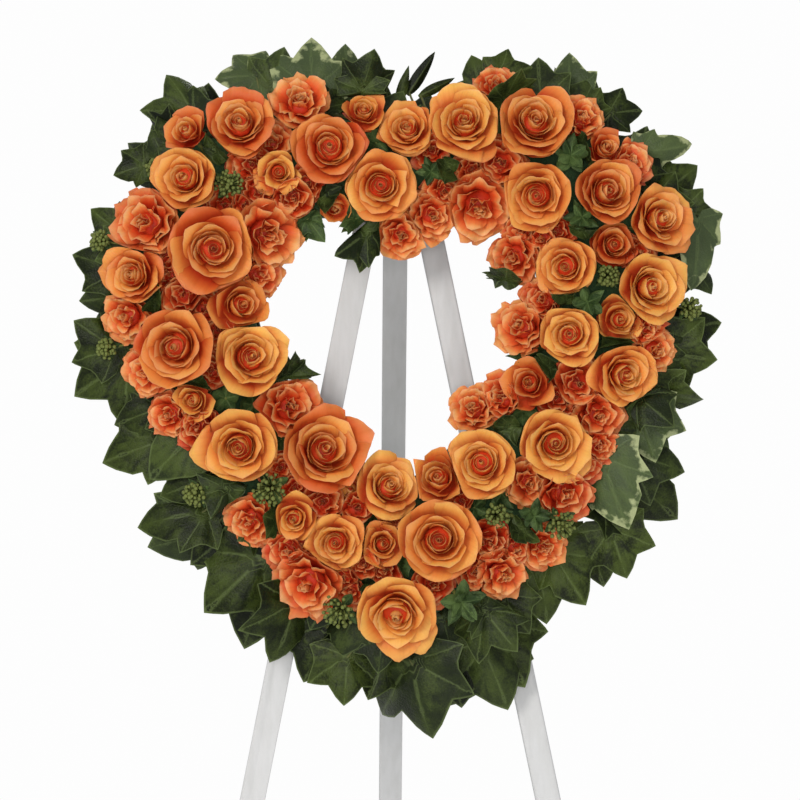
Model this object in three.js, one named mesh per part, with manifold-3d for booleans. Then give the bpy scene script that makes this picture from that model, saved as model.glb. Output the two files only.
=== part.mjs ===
// A standing heart wreath: roses, carnations and green sprigs stuck in a heart of floral foam, edged with
// ivy, resting on the pegs of a painted wooden tripod easel. Millimetres, +Z up, the front faces -Y.
import * as THREE from "three";
import { mergeVertices } from "three/addons/utils/BufferGeometryUtils.js";
import Module from "manifold-3d";

const wasm = await Module();
wasm.setup();

// Driving dimensions of the easel
const LEAN = THREE.MathUtils.degToRad(10);
const SPLAY = THREE.MathUtils.degToRad(11.5);
const REAR_SPREAD = THREE.MathUtils.degToRad(18);
const HEART_CENTRE_HEIGHT = 1190;
const SLAT_WIDTH = 22;
const SLAT_THICKNESS = 12;
const LEG_TOP = 222;
const GAP = 0.3;
const BLOCK_HALF_WIDTH = 30;
const BLOCK_DEPTH = 16;
const BLOCK_HEIGHT = 52;
const CHEEK_THICKNESS = 8;
const CHEEK_DEPTH = 27;
const PIVOT_BEHIND_BLOCK = 14;
const PIVOT_BELOW_TOP = 24;
const BOLT_RADIUS = 3;
const BOLT_HOLE_RADIUS = 3.5;
const PEG_RADIUS = 4.5;
const PEG_HOLE_RADIUS = 4.95;
const PEG_REACH = 24;
const ROUND_SIDES = 8;

// Driving dimensions of the heart. Heights are from the heart's centre, widths from its middle line.
const OUTER_HEART = { cleft: 200, lobeX: 122, lobeZ: 242, side: 228, sideZ: 95, tip: -222 };
const INNER_HEART = { cleft: 128, lobeX: 68, lobeZ: 152, side: 128, sideZ: 75, tip: -92 };
const TRAY_WALL = 2.5;
const TRAY_DEPTH = 13;
const FOAM_FRONT = 50;
const FOAM_BEVEL = 8;
const STEM_DEPTH = 24;
const STEM_RADIUS = 2.2;
const STEM_HOLE_RADIUS = 4;
const STEM_SIDES = 3;
const STEM_OFF_MIDDLE = 32;
const MOST_TILT = THREE.MathUtils.degToRad(26);
const TILT_REACH = 52;
const CELL_GAP = 0.4;

const v2 = (x, y) => new THREE.Vector2(x, y);
const v3 = (x, y, z) => new THREE.Vector3(x, y, z);

// Vertices and triangles as a closed geometry whose faces point outwards.
function closedGeometry(points, faces) {
  const sixfold = faces.reduce((sum, [a, b, c]) => {
    return sum + points[a].dot(points[b].clone().cross(points[c]));
  }, 0);
  const turned = sixfold < 0 ? faces.map(([a, b, c]) => [a, c, b]) : faces;
  const geometry = new THREE.BufferGeometry().setFromPoints(points);
  return geometry.setIndex(turned.flat());
}

function toSolid(geometry) {
  const bare = geometry.index ? geometry.clone() : geometry;
  ["normal", "uv"].forEach((name) => bare.deleteAttribute(name));
  const merged = mergeVertices(bare, 1e-4);
  return new wasm.Manifold(
    new wasm.Mesh({
      numProp: 3,
      vertProperties: merged.attributes.position.array,
      triVerts: new Uint32Array(merged.index.array),
    }),
  );
}

// A solid's largest body as a geometry: a cut can leave loose scraps, which are dropped.
function toGeometry(solid) {
  const body = solid.decompose().sort((a, b) => b.volume() - a.volume())[0];
  const mesh = body.getMesh();
  const geometry = new THREE.BufferGeometry();
  geometry.setAttribute("position", new THREE.BufferAttribute(mesh.vertProperties, 3));
  geometry.setIndex(new THREE.BufferAttribute(mesh.triVerts, 1));
  geometry.computeVertexNormals();
  return geometry;
}

const joined = (geometries) => geometries.map(toSolid).reduce((a, b) => a.add(b));

// Two closed rings of points, given by their indices, joined by a strip of triangles.
function strip(inner, outer) {
  const faces = [];
  let i = 0;
  let j = 0;
  while (i < inner.length || j < outer.length) {
    const a = inner[i % inner.length];
    const b = outer[j % outer.length];
    const innerNext = (i + 1) / inner.length <= (j + 1) / outer.length;
    if (j === outer.length || (i < inner.length && innerNext)) {
      faces.push([a, b, inner[++i % inner.length]]);
    } else {
      faces.push([a, b, outer[++j % outer.length]]);
    }
  }
  return faces;
}

// A solid of rings of points. Each end is closed by a fan on a given point, or plainly without one.
function ringedSolid(first, rings, last) {
  const points = rings.flat();
  let used = 0;
  const loops = rings.map((ring) => ring.map(() => used++));
  const close = (loop, middle) => {
    if (!middle) return loop.slice(2).map((_, k) => [loop[0], loop[k + 1], loop[k + 2]]);
    const centre = points.push(middle) - 1;
    return loop.map((a, k) => [centre, a, loop[(k + 1) % loop.length]]);
  };
  const faces = loops.slice(1).flatMap((loop, k) => strip(loops[k], loop));
  faces.push(...close(loops[0], first), ...close([...loops.at(-1)].reverse(), last));
  return closedGeometry(points, faces);
}

// A ring of points round a centre, in the plane of two directions.
function roundRing(centre, u, w, radius, sides) {
  return Array.from({ length: sides }, (_, k) => {
    const angle = ((k + 0.5) / sides) * 2 * Math.PI;
    return centre.clone()
      .addScaledVector(u, radius * Math.cos(angle))
      .addScaledVector(w, radius * Math.sin(angle));
  });
}

// A straight rod with flat ends between two points.
function rod(from, to, radius, sides) {
  const along = to.clone().sub(from).normalize();
  const across = Math.abs(along.y) > 0.9 ? v3(1, 0, 0) : v3(0, 1, 0);
  const u = across.cross(along).normalize();
  const w = along.clone().cross(u);
  return ringedSolid(null, [from, to].map((end) => roundRing(end, u, w, radius, sides)), null);
}

// A rod bent along points that share one upright plane.
function bentRod(line, radius, sides) {
  const forward = v3(0, 1, 0);
  const rings = line.map((point, k) => {
    const before = line[Math.max(0, k - 1)];
    const after = line[Math.min(line.length - 1, k + 1)];
    const side = after.clone().sub(before).cross(forward).normalize();
    return roundRing(point, side, forward, radius, sides);
  });
  return ringedSolid(null, rings, null);
}

// A block with two four-cornered ends: the corners run round each end in the same order.
function hexahedron(lower, upper) {
  const faces = [[0, 2, 1], [0, 3, 2], [4, 5, 6], [4, 6, 7]];
  for (let k = 0; k < 4; k++) {
    const next = (k + 1) % 4;
    faces.push([k, next, next + 4], [k, next + 4, k + 4]);
  }
  return closedGeometry([...lower, ...upper], faces);
}

function box(x0, x1, y0, y1, z0, z1) {
  const end = (z) => [v3(x0, y0, z), v3(x1, y0, z), v3(x1, y1, z), v3(x0, y1, z)];
  return hexahedron(end(z0), end(z1));
}

const colours = {
  paint: new THREE.MeshStandardMaterial({ color: 0xf2f2f0, roughness: 0.45 }),
  steel: new THREE.MeshStandardMaterial({ color: 0xb4b6b8, roughness: 0.35, metalness: 1 }),
  tray: new THREE.MeshStandardMaterial({ color: 0x1d4a2a, roughness: 0.5 }),
  foam: new THREE.MeshStandardMaterial({ color: 0x2f5b32, roughness: 0.95 }),
  rose: new THREE.MeshStandardMaterial({ color: 0xf08132, roughness: 0.6 }),
  carnation: new THREE.MeshStandardMaterial({ color: 0xd9602a, roughness: 0.7 }),
  ivy: new THREE.MeshStandardMaterial({ color: 0x2c5427, roughness: 0.4 }),
  sprig: new THREE.MeshStandardMaterial({ color: 0x5d8440, roughness: 0.5 }),
};

function node(name, geometry, material) {
  const mesh = new THREE.Mesh(geometry, material);
  mesh.name = name;
  return mesh;
}

// The heart's outline: three curves down its left half, mirrored for the right half.
const CURVE_STEPS = [4, 4, 6];
function heartOutline({ cleft, lobeX, lobeZ, side, sideZ, tip }) {
  const height = sideZ - tip;
  const left = [
    [v2(0, cleft), v2(-0.1 * lobeX, lobeZ - 0.25 * (lobeZ - cleft)), v2(-0.5 * lobeX, lobeZ),
      v2(-lobeX, lobeZ)],
    [v2(-lobeX, lobeZ), v2(-lobeX - 0.55 * (side - lobeX), lobeZ),
      v2(-side, sideZ + 0.55 * (lobeZ - sideZ)), v2(-side, sideZ)],
    [v2(-side, sideZ), v2(-side, sideZ - 0.33 * height), v2(-0.4 * side, tip + 0.18 * height),
      v2(0, tip)],
  ].flatMap((corners, k) => {
    const curve = new THREE.CubicBezierCurve(...corners);
    return Array.from({ length: CURVE_STEPS[k] }, (_, i) => curve.getPoint(i / CURVE_STEPS[k]));
  });
  const right = left.slice(1).reverse().map((point) => v2(-point.x, point.y));
  return [...left, v2(0, tip), ...right];
}

const outerHeart = heartOutline(OUTER_HEART);
const innerHeart = heartOutline(INNER_HEART);
const middleHeart = outerHeart.map((point, k) => point.clone().lerp(innerHeart[k], 0.5));

// The point of a closed outline nearest to one in its plane, with the direction from there to it.
function nearestOn(outline, point) {
  let best = { distance: Infinity };
  outline.forEach((a, k) => {
    const b = outline[(k + 1) % outline.length];
    const edge = b.clone().sub(a);
    const share = THREE.MathUtils.clamp(point.clone().sub(a).dot(edge) / edge.lengthSq(), 0, 1);
    const at = a.clone().addScaledVector(edge, share);
    const distance = at.distanceTo(point);
    if (distance < best.distance) best = { distance, at, place: k + share };
  });
  const out = point.clone().sub(best.at).normalize();
  return { ...best, out };
}

// How far outside a closed outline a point lies, or how far inside it, as a negative distance.
function distanceOutside(outline, point) {
  const crossings = outline.filter((a, k) => {
    const b = outline[(k + 1) % outline.length];
    const level = a.y > point.y !== b.y > point.y;
    return level && point.x < a.x + ((b.x - a.x) * (point.y - a.y)) / (b.y - a.y);
  });
  return nearestOn(outline, point).distance * (crossings.length % 2 ? -1 : 1);
}

// An outline moved outwards by a distance, with its corners kept sharp.
function offsetOutline(outline, distance) {
  const count = outline.length;
  return outline.map((point, k) => {
    const before = point.clone().sub(outline[(k + count - 1) % count]).normalize();
    const after = outline[(k + 1) % count].clone().sub(point).normalize();
    const along = before.clone().add(after).normalize();
    const corner = Math.max(0.5, along.dot(after));
    return v2(point.x + (along.y * distance) / corner, point.y - (along.x * distance) / corner);
  });
}

// A section carried round the heart. A corner is [1 for the outer outline or 0 for the inner one,
// how far outside it lies, how far in front of the legs it lies].
function heartRing(corners) {
  const count = outerHeart.length;
  const points = corners.flatMap(([side, outside, forward]) =>
    offsetOutline(side ? outerHeart : innerHeart, outside).map(({ x, y }) => v3(x, -forward, y)),
  );
  const loops = corners.map((_, c) => Array.from({ length: count }, (_, k) => c * count + k));
  const faces = loops.flatMap((loop, c) => strip(loop, loops[(c + 1) % loops.length]));
  return closedGeometry(points, faces);
}

const foamBack = GAP + TRAY_WALL + GAP;
function trayGeometry() {
  const rimOut = GAP + TRAY_WALL;
  const floor = GAP + TRAY_WALL;
  return heartRing([
    [1, rimOut, GAP], [1, rimOut, TRAY_DEPTH], [1, GAP, TRAY_DEPTH], [1, GAP, floor],
    [0, -GAP, floor], [0, -GAP, TRAY_DEPTH], [0, -rimOut, TRAY_DEPTH], [0, -rimOut, GAP],
  ]);
}

function foamSolid() {
  const shoulder = FOAM_FRONT - FOAM_BEVEL;
  return toSolid(heartRing([
    [1, 0, foamBack], [1, 0, shoulder], [1, -FOAM_BEVEL, FOAM_FRONT],
    [0, FOAM_BEVEL, FOAM_FRONT], [0, 0, shoulder], [0, 0, foamBack],
  ]));
}

// Shapes of the flower heads, as rings from the middle of the top down to the stem: [points in the
// ring, radius, height, wave], with the radius and height as shares of the head's own. A wave moves
// each point in turn in or out by a share of its radius, and up or down by a share of the height.
const petalEdge = [[-0.16, -0.05], [0.0, 0.03], [0.04, -0.02]];
const budEdge = [[-0.08, -0.02], [0.08, 0.02]];
const frill = [[0.05, 0.07], [-0.2, -0.07]];
const leafTips = [[0, 0], [-0.62, -0.12]];
const beads = [[0.1, 0.06], [-0.14, -0.08]];
const HEADS = {
  rose: {
    height: 1.05, neck: 8,
    rings: [
      [5, 0.15, 1.0, budEdge], [5, 0.24, 0.82], [10, 0.46, 0.98, budEdge], [10, 0.56, 0.74],
      [10, 0.74, 0.88, budEdge], [12, 1.0, 0.66, petalEdge], [5, 0.62, 0.28],
    ],
  },
  small_rose: {
    height: 1.3, neck: 8,
    rings: [
      [5, 0.2, 1.0, budEdge], [5, 0.34, 0.82], [10, 0.62, 0.96, budEdge],
      [10, 1.0, 0.68, budEdge], [5, 0.6, 0.26],
    ],
  },
  carnation: {
    height: 1.15, neck: 5,
    rings: [
      [6, 0.26, 1.0, frill], [5, 0.4, 0.78], [10, 0.64, 0.96, frill],
      [12, 1.0, 0.7, frill], [5, 0.5, 0.3],
    ],
  },
  rosette: {
    height: 0.8, neck: 24,
    rings: [[10, 1.0, 1.0, leafTips], [10, 0.8, 0.78, leafTips]],
  },
  berries: {
    height: 1.7, neck: 18,
    rings: [[5, 0.4, 0.98, beads], [10, 0.72, 0.82, beads], [10, 1.0, 0.52, beads],
      [6, 0.62, 0.22, beads]],
  },
};

// Where each head stands: [kind, right of the middle, above the heart's centre, across, lift].
// Heads in one list grow from one branching stem.
const BLOOMS = {
  roses_top_middle: [["small_rose", -31, 239, 36, 0], ["rose", 7, 223, 48, 0]],
  roses_top_right: [["rose", 56, 228, 66, 6], ["rose", 117, 228, 68, 4], ["carnation", 85, 262, 34, -4]],
  roses_right_lobe: [["rose", 119, 165, 62, 6], ["rose", 180, 168, 60, 4],
    ["small_rose", 186, 122, 40, 0]],
  roses_right_edge: [["rose", 226, 144, 58, 0], ["rose", 217, 85, 58, 4]],
  roses_right_inner: [["rose", 144, 103, 54, 4], ["rose", 147, 44, 54, 6]],
  roses_right_low: [["rose", 194, 9, 58, 4], ["small_rose", 190, 57, 40, 2],
    ["carnation", 223, 30, 36, -4]],
  roses_lower_right: [["rose", 133, -50, 62, 6], ["rose", 70, -67, 60, 2]],
  roses_low_middle: [["small_rose", 33, -80, 44, -2], ["rose", -11, -87, 56, 2]],
  roses_lower_left: [["rose", -67, -55, 72, 6], ["rose", -140, -52, 66, 6],
    ["small_rose", -45, -90, 24, 0]],
  roses_bottom: [["rose", 32, -133, 70, 8], ["rose", -5, -197, 70, 8]],
  roses_bottom_left: [["rose", -57, -135, 52, 2], ["small_rose", -93, -114, 40, 6],
    ["small_rose", -16, -137, 36, 0], ["carnation", -131, -117, 42, -2]],
  roses_left: [["rose", -130, 26, 64, 4], ["rose", -195, 35, 70, 6]],
  roses_left_upper: [["small_rose", -138, 71, 48, 2], ["rose", -162, 119, 76, 8]],
  roses_left_shoulder: [["rose", -186, 181, 56, 4], ["small_rose", -184, 222, 34, 0]],
  rose_left_lobe: [["rose", -138, 228, 58, 4]],
  roses_cleft_left: [["rose", -61, 207, 66, 6], ["rose", -17, 174, 64, 8],
    ["small_rose", -56, 155, 24, -2]],
  roses_left_edge: [["rose", -231, 97, 54, 0], ["carnation", -221, 143, 56, 0],
    ["carnation", -238, 61, 42, -4]],
  roses_left_low: [["small_rose", -180, -11, 34, 4], ["carnation", -201, -24, 38, -4],
    ["carnation", -221, 13, 42, -2]],
  roses_right_gap: [["small_rose", 112, 2, 42, 2], ["carnation", 105, 52, 46, -4]],
  roses_right_crown: [["small_rose", 179, 206, 32, 0], ["carnation", 160, 233, 36, -2]],
  carnations_left_lobe: [["carnation", -86, 248, 46, 0], ["carnation", -110, 213, 34, -2],
    ["small_rose", -105, 186, 34, 6]],
  carnation_left_inner: [["carnation", -114, 132, 58, 0]],
  carnation_left_gap: [["carnation", -96, -17, 50, 0]],
  carnation_bottom_left: [["carnation", -82, -172, 58, -2]],
  carnations_cleft: [["carnation", 1, 132, 38, -4], ["carnation", 29, 148, 42, -4],
    ["carnation", 69, 155, 58, -2], ["carnation", 99, 112, 42, -4]],
  carnation_right: [["carnation", 172, -26, 44, -2]],
  carnation_low_right: [["carnation", 112, -84, 40, -2]],
  carnations_bottom_right: [["carnation", 88, -165, 42, -2], ["carnation", 123, -141, 38, -4]],
  carnation_right_inner: [["carnation", 64, -19, 38, -4]],
};

const SPRIGS = {
  berries_left_lobe: [["berries", -148, 176, 24, 0]],
  sprig_cleft: [["rosette", 27, 186, 22, 0]],
  sprig_right_lobe: [["rosette", 149, 200, 34, 0]],
  sprig_right_upper: [["rosette", 158, 146, 30, 0]],
  sprig_right_middle: [["rosette", 162, 72, 30, 0], ["berries", 181, 95, 20, 0]],
  sprig_lower_right: [["berries", 84, -113, 22, 0], ["rosette", 116, -114, 28, 0],
    ["berries", 140, -122, 26, 0]],
  berries_lower_left: [["berries", -115, -90, 30, 0]],
  berries_bottom_left: [["berries", -56, -197, 30, 0]],
  sprig_bottom: [["rosette", 53, -189, 38, 0]],
};

// Petals spread past a head's own width to meet a neighbour, and less far where there is none.
const SPREAD = { rose: 1.42, small_rose: 1.55, carnation: 1.6, rosette: 1.5, berries: 1.25 };
const FREE_SPREAD = 1.1;

// Each head with its axis, which leans out from the middle of the foam, and its place along it.
function placeHead([kind, x, z, across, lift]) {
  const shape = HEADS[kind];
  const radius = across / 2;
  const height = radius * shape.height;
  const off = nearestOn(middleHeart, v2(x, z));
  const tilt = MOST_TILT * Math.min(off.distance / TILT_REACH, 1.1);
  const axis = v3(off.out.x * Math.sin(tilt), -Math.cos(tilt), off.out.y * Math.sin(tilt));
  const centre = v3(x, -(FOAM_FRONT + shape.neck + lift + 0.6 * height), z);
  const root = centre.clone().addScaledVector(axis, -0.6 * height);
  const straight = root.clone().addScaledVector(axis, (-FOAM_FRONT - root.y) / axis.y);
  const inFoam = nearestOn(middleHeart, v2(straight.x, straight.z));
  const share = Math.min(1, STEM_OFF_MIDDLE / inFoam.distance);
  const entry = v3(0, -FOAM_FRONT, 0);
  entry.x = inFoam.at.x + (straight.x - inFoam.at.x) * share;
  entry.z = inFoam.at.y + (straight.z - inFoam.at.y) * share;
  const down = entry.clone().sub(root).normalize();
  const tip = entry.clone().addScaledVector(down, STEM_DEPTH);
  const u = v3(0, 0, 1).cross(axis).normalize();
  const w = axis.clone().cross(u);
  return { shape, spread: SPREAD[kind], radius, height, axis, u, w, centre, root, entry, down, tip };
}

// The planes that part a head from its neighbours: petals press on each other and don't cross.
function cellOf(head, others) {
  return others
    .filter((other) => other !== head)
    .map((other) => {
      const towards = other.centre.clone().sub(head.centre);
      const apart = towards.length();
      const share = (apart ** 2 + head.radius ** 2 - other.radius ** 2) / (2 * apart);
      return { normal: towards.normalize(), limit: share - CELL_GAP, apart, other };
    })
    .filter(({ apart, other }) => apart < 1.3 * (head.radius + other.radius) + 12);
}

// How far a head spreads in one direction, as a share of its radius, up to a near neighbour.
function reachShare(head, cell, out) {
  const shares = head.shape.rings.flatMap(([, radius, height, wave = [[0, 0]]]) => {
    const widest = radius * (1 + Math.max(...wave.map(([inOut]) => inOut)));
    const at = head.root.clone().addScaledVector(head.axis, height * head.height).sub(head.centre);
    return cell.map(({ normal, limit }) => {
      const slope = out.dot(normal) * widest * head.radius;
      return slope > 1e-6 ? (limit - at.dot(normal)) / slope : 10;
    });
  });
  const room = Math.max(0.3, Math.min(...shares));
  if (room < head.spread) return room;
  const free = Math.min(1, (room - head.spread) / (0.5 * head.spread));
  return THREE.MathUtils.lerp(head.spread, FREE_SPREAD, free);
}

function headGeometry(head, cell) {
  const { u, w } = head;
  const ring = ([count, radius, height, wave = [[0, 0]]]) =>
    Array.from({ length: count }, (_, k) => {
      const angle = (k / count) * 2 * Math.PI;
      const out = u.clone().multiplyScalar(Math.cos(angle)).addScaledVector(w, Math.sin(angle));
      const [inOut, upDown] = wave[k % wave.length];
      const reach = radius * (1 + inOut) * head.radius * reachShare(head, cell, out);
      return head.root.clone()
        .addScaledVector(head.axis, (height + upDown * Math.min(1, height * 4)) * head.height)
        .addScaledVector(out, reach);
    });
  const top = head.root.clone().addScaledVector(head.axis, 0.9 * head.height);
  const stem = [head.root, head.tip].map((end) => roundRing(end, u, w, STEM_RADIUS, STEM_SIDES));
  return ringedSolid(top, [...head.shape.rings.map(ring), ...stem], null);
}

// A bunch: its heads, their stems, and a low branch from each stem to the next.
const BRANCH_ABOVE_FOAM = 3;
const BRANCH_RADIUS = 1.9;
function bunchSolid(heads, allHeads) {
  const pieces = heads.map((head) => headGeometry(head, cellOf(head, allHeads)));
  const lows = heads.map(({ entry, down }) => {
    return entry.clone().addScaledVector(down, -BRANCH_ABOVE_FOAM / down.y);
  });
  lows.slice(1).forEach((low, k) => pieces.push(rod(lows[k], low, BRANCH_RADIUS, STEM_SIDES)));
  return joined(pieces);
}

const stemHole = ({ root, tip, down, u, w }) => {
  const ends = [root, tip.clone().addScaledVector(down, 1)];
  const rings = ends.map((end) => roundRing(end, u, w, STEM_HOLE_RADIUS, STEM_SIDES));
  return toSolid(ringedSolid(null, rings, null));
};

// Ivy leaves, as outlines of half a blade from the stalk to the tip: [along, across] as shares of its
// length. Blades are folded a little along the middle rib.
const BLADES = {
  ivy: [[-0.15, 0.22], [-0.08, 0.5], [0.15, 0.46], [0.42, 0.62], [0.56, 0.34]],
  folded: [[-0.12, 0.16], [-0.04, 0.34], [0.18, 0.3], [0.44, 0.4], [0.58, 0.22]],
  lance: [[0.25, 0.13], [0.6, 0.12]],
  heart: [[-0.1, 0.2], [0.12, 0.42], [0.5, 0.38], [0.8, 0.18]],
};
const BLADE_THICKNESS = 1;
const BLADE_FOLD = 0.16;
const STALK_RADIUS = 1;
const VINE_RADIUS = 1.6;
const VINE_FORWARD = 34;
const VINE_OFF_FOAM = 3.5;
const LEAF_OFF_FOAM = 4;

// Ivy trails: where the vine runs along the foam's edge, and its leaves: [blade, stalk end right and
// up, tip right and up, forward of the legs, how much the tip comes forward].
const IVY = {
  ivy_top_left: [["ivy", -119, 244, -161, 273, 30, 0], ["ivy", -110, 251, -100, 299, 36, 2],
    ["ivy", -76, 251, -77, 308, 44, 0], ["ivy", -50, 245, -43, 301, 36, 2],
    ["ivy", -41, 244, -14, 280, 28, -2], ["lance", -6, 245, -16, 273, 40, 2],
    ["lance", -1, 245, 9, 281, 44, 2], ["lance", 11, 251, 33, 293, 38, 2],
    ["lance", 22, 246, 50, 270, 40, 2]],
  ivy_left_shoulder: [["ivy", -169, 224, -200, 277, 42, 0], ["ivy", -184, 209, -223, 238, 36, 0],
    ["ivy", -204, 184, -250, 186, 42, 0]],
  ivy_left: [["ivy", -225, 132, -272, 156, 30, 0], ["ivy", -236, 103, -286, 118, 36, 2],
    ["ivy", -234, 83, -281, 73, 30, 0], ["ivy", -230, 39, -285, 59, 42, 0],
    ["ivy", -225, 30, -286, -7, 34, 2]],
  ivy_lower_left: [["ivy", -201, -13, -251, -33, 38, 0], ["ivy", -204, -45, -263, -64, 32, 0],
    ["heart", -172, -35, -220, -75, 52, 8], ["ivy", -169, -78, -210, -97, 47, 0]],
  ivy_left_flank: [["ivy", -169, -109, -231, -115, 41, 2], ["ivy", -163, -122, -220, -147, 35, 0],
    ["ivy", -138, -117, -184, -157, 34, 0], ["ivy", -119, -148, -173, -198, 44, 0],
    ["ivy", -112, -161, -143, -230, 30, 0]],
  ivy_bottom_left: [["ivy", -93, -187, -105, -244, 50, 0], ["ivy", -64, -209, -84, -261, 34, 0],
    ["ivy", -47, -235, -50, -280, 42, 2], ["ivy", -12, -235, -29, -276, 32, 0],
    ["ivy", 10, -235, 17, -311, 49, 2]],
  ivy_bottom_right: [["ivy", 45, -226, 50, -285, 32, 0], ["ivy", 70, -226, 97, -285, 42, 2],
    ["ivy", 75, -209, 110, -267, 30, 0], ["ivy", 88, -184, 113, -219, 46, 0]],
  ivy_right_flank: [["ivy", 118, -157, 134, -210, 34, 0], ["ivy", 133, -146, 163, -194, 42, 0],
    ["ivy", 170, -131, 177, -179, 32, 0], ["ivy", 184, -126, 199, -171, 44, 0],
    ["ivy", 179, -104, 212, -134, 36, 2]],
  ivy_lower_right: [["ivy", 199, -77, 247, -121, 28, 0], ["ivy", 203, -61, 252, -75, 42, 0],
    ["ivy", 176, -62, 194, -127, 60, 6], ["ivy", 210, -22, 222, -68, 50, 4],
    ["ivy", 214, -39, 249, -29, 36, 0]],
  ivy_right: [["ivy", 223, -4, 268, -16, 32, 0], ["ivy", 231, 30, 280, 20, 42, 0],
    ["ivy", 236, 48, 284, 57, 34, 2]],
  ivy_right_shoulder: [["folded", 262, 146, 262, 84, 44, 6], ["ivy", 240, 108, 278, 81, 30, 0],
    ["ivy", 234, 170, 266, 193, 34, 0], ["folded", 200, 196, 258, 208, 44, 4],
    ["ivy", 247, 152, 281, 148, 38, 0]],
  ivy_top_right: [["ivy", 173, 222, 216, 245, 34, 0], ["ivy", 162, 233, 178, 262, 42, 0],
    ["ivy", 151, 251, 149, 293, 36, 2], ["ivy", 76, 245, 65, 292, 34, 0],
    ["ivy", 88, 248, 118, 280, 42, 2]],
};

// A thin folded blade between its stalk end and its tip, facing the front.
function bladeGeometry([kind, x0, z0, x1, z1, forward, rise]) {
  const half = BLADES[kind];
  const outline = [[0, 0], ...half, [1, 0], ...half.map(([a, b]) => [a, -b]).reverse()];
  const start = v3(x0, -forward, z0);
  const along = v3(x1, -forward - rise, z1).sub(start);
  const length = along.length();
  const facing = v3(0, -1, 0).addScaledVector(along, rise / length ** 2).normalize();
  const across = along.clone().cross(facing).normalize();
  const at = ([a, b], depth) =>
    start.clone()
      .addScaledVector(along, a)
      .addScaledVector(across, b * length)
      .addScaledVector(facing, depth - BLADE_FOLD * Math.abs(b) * length);
  const middle = [0.34, 0];
  const face = (depth) => outline.map((point) => at(point, depth));
  return ringedSolid(at(middle, BLADE_THICKNESS / 2),
    [face(BLADE_THICKNESS / 2), face(-BLADE_THICKNESS / 2)], at(middle, -BLADE_THICKNESS / 2));
}

// A trail: a vine along the foam's edge with its first end in the foam, and stalks to its blades.
const edgePoint = (place, off, forward) => {
  const outline = offsetOutline(outerHeart, off);
  const count = outline.length;
  const k = Math.floor(place);
  const at = outline[(k + count) % count].clone().lerp(outline[(k + 1 + count) % count], place - k);
  return v3(at.x, -forward, at.y);
};

// How far a blade stays outside the heart of foam, seen from the front.
function bladeOffFoam(blade) {
  const corners = blade.attributes.position;
  const offs = Array.from({ length: corners.count }, (_, k) => {
    return distanceOutside(outerHeart, v2(corners.getX(k), corners.getZ(k)));
  });
  return Math.min(...offs);
}

function trailParts(leaves) {
  const count = outerHeart.length;
  const places = leaves.map(([, x, z]) => {
    const place = nearestOn(outerHeart, v2(x, z)).place;
    return place > 0.8 * count && leaves[0][1] < 0 ? place - count : place;
  });
  const from = Math.min(...places) - 0.12;
  const to = Math.max(...places) + 0.05;
  const stops = [from];
  for (let corner = Math.ceil(from + 0.02); corner < to - 0.02; corner++) stops.push(corner);
  const line = [...stops, to].map((place) => edgePoint(place, VINE_OFF_FOAM, VINE_FORWARD));
  const plug = [line[0], edgePoint(from, -18, VINE_FORWARD)];
  const vine = bentRod([plug[1], ...line], VINE_RADIUS, 3);
  const grown = leaves.map(([kind, x, z, x1, z1, forward, rise], k) => {
    const seat = edgePoint(places[k], VINE_OFF_FOAM, VINE_FORWARD);
    const out = edgePoint(places[k], 1, forward).sub(edgePoint(places[k], 0, forward));
    const base = v3(x, -forward, z);
    let blade = bladeGeometry([kind, base.x, base.z, x1, z1, forward, rise]);
    while (forward < FOAM_FRONT && bladeOffFoam(blade) < LEAF_OFF_FOAM) {
      base.add(out);
      blade = bladeGeometry([kind, base.x, base.z, x1, z1, forward, rise]);
    }
    const inBlade = v3(base.x + 0.12 * (x1 - base.x), -forward, base.z + 0.12 * (z1 - base.z));
    return [rod(seat, inBlade, STALK_RADIUS, 3), blade];
  });
  return { pieces: [vine, ...grown.flat()], plug };
}

const plugHole = ([outer, inner]) => {
  const past = inner.clone().sub(outer).normalize();
  const from = outer.clone().addScaledVector(past, -2);
  const to = inner.clone().addScaledVector(past, 1);
  return toSolid(rod(from, to, 3.6, 4));
};

// The easel's front legs lie in the heart's leaning frame, and are cut level at the floor.
const legTopX = SLAT_WIDTH / 2 / Math.cos(SPLAY) + GAP;
const floorZ = (y) => (y * Math.sin(LEAN) - HEART_CENTRE_HEIGHT) / Math.cos(LEAN);
const legX = (z) => legTopX + (LEG_TOP - z) * Math.tan(SPLAY);

function frontLeg(sign) {
  const half = SLAT_WIDTH / 2 / Math.cos(SPLAY);
  const corner = (x, y, z) => v3(sign * (legX(z) + x), y, z);
  const end = (zAt) =>
    [[-half, 0], [half, 0], [half, SLAT_THICKNESS], [-half, SLAT_THICKNESS]]
      .map(([x, y]) => corner(x, y, zAt(y)));
  return hexahedron(end(floorZ), end(() => LEG_TOP));
}

// A peg stands in each front leg where the tray's lower edge rests on it.
function pegCentre(sign) {
  const trayRim = GAP + TRAY_WALL;
  const seat = PEG_RADIUS + GAP;
  let low = OUTER_HEART.tip - 60;
  let high = -100;
  for (let step = 0; step < 40; step++) {
    const z = (low + high) / 2;
    const clear = nearestOn(outerHeart, v2(-legX(z), z)).distance - trayRim - seat;
    if (clear > 0) low = z;
    else high = z;
  }
  return v2(sign * legX(low), low);
}

const pegRod = (sign, radius, front, back) => {
  const { x, y } = pegCentre(sign);
  return rod(v3(x, -front, y), v3(x, back, y), radius, ROUND_SIDES);
};

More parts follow.
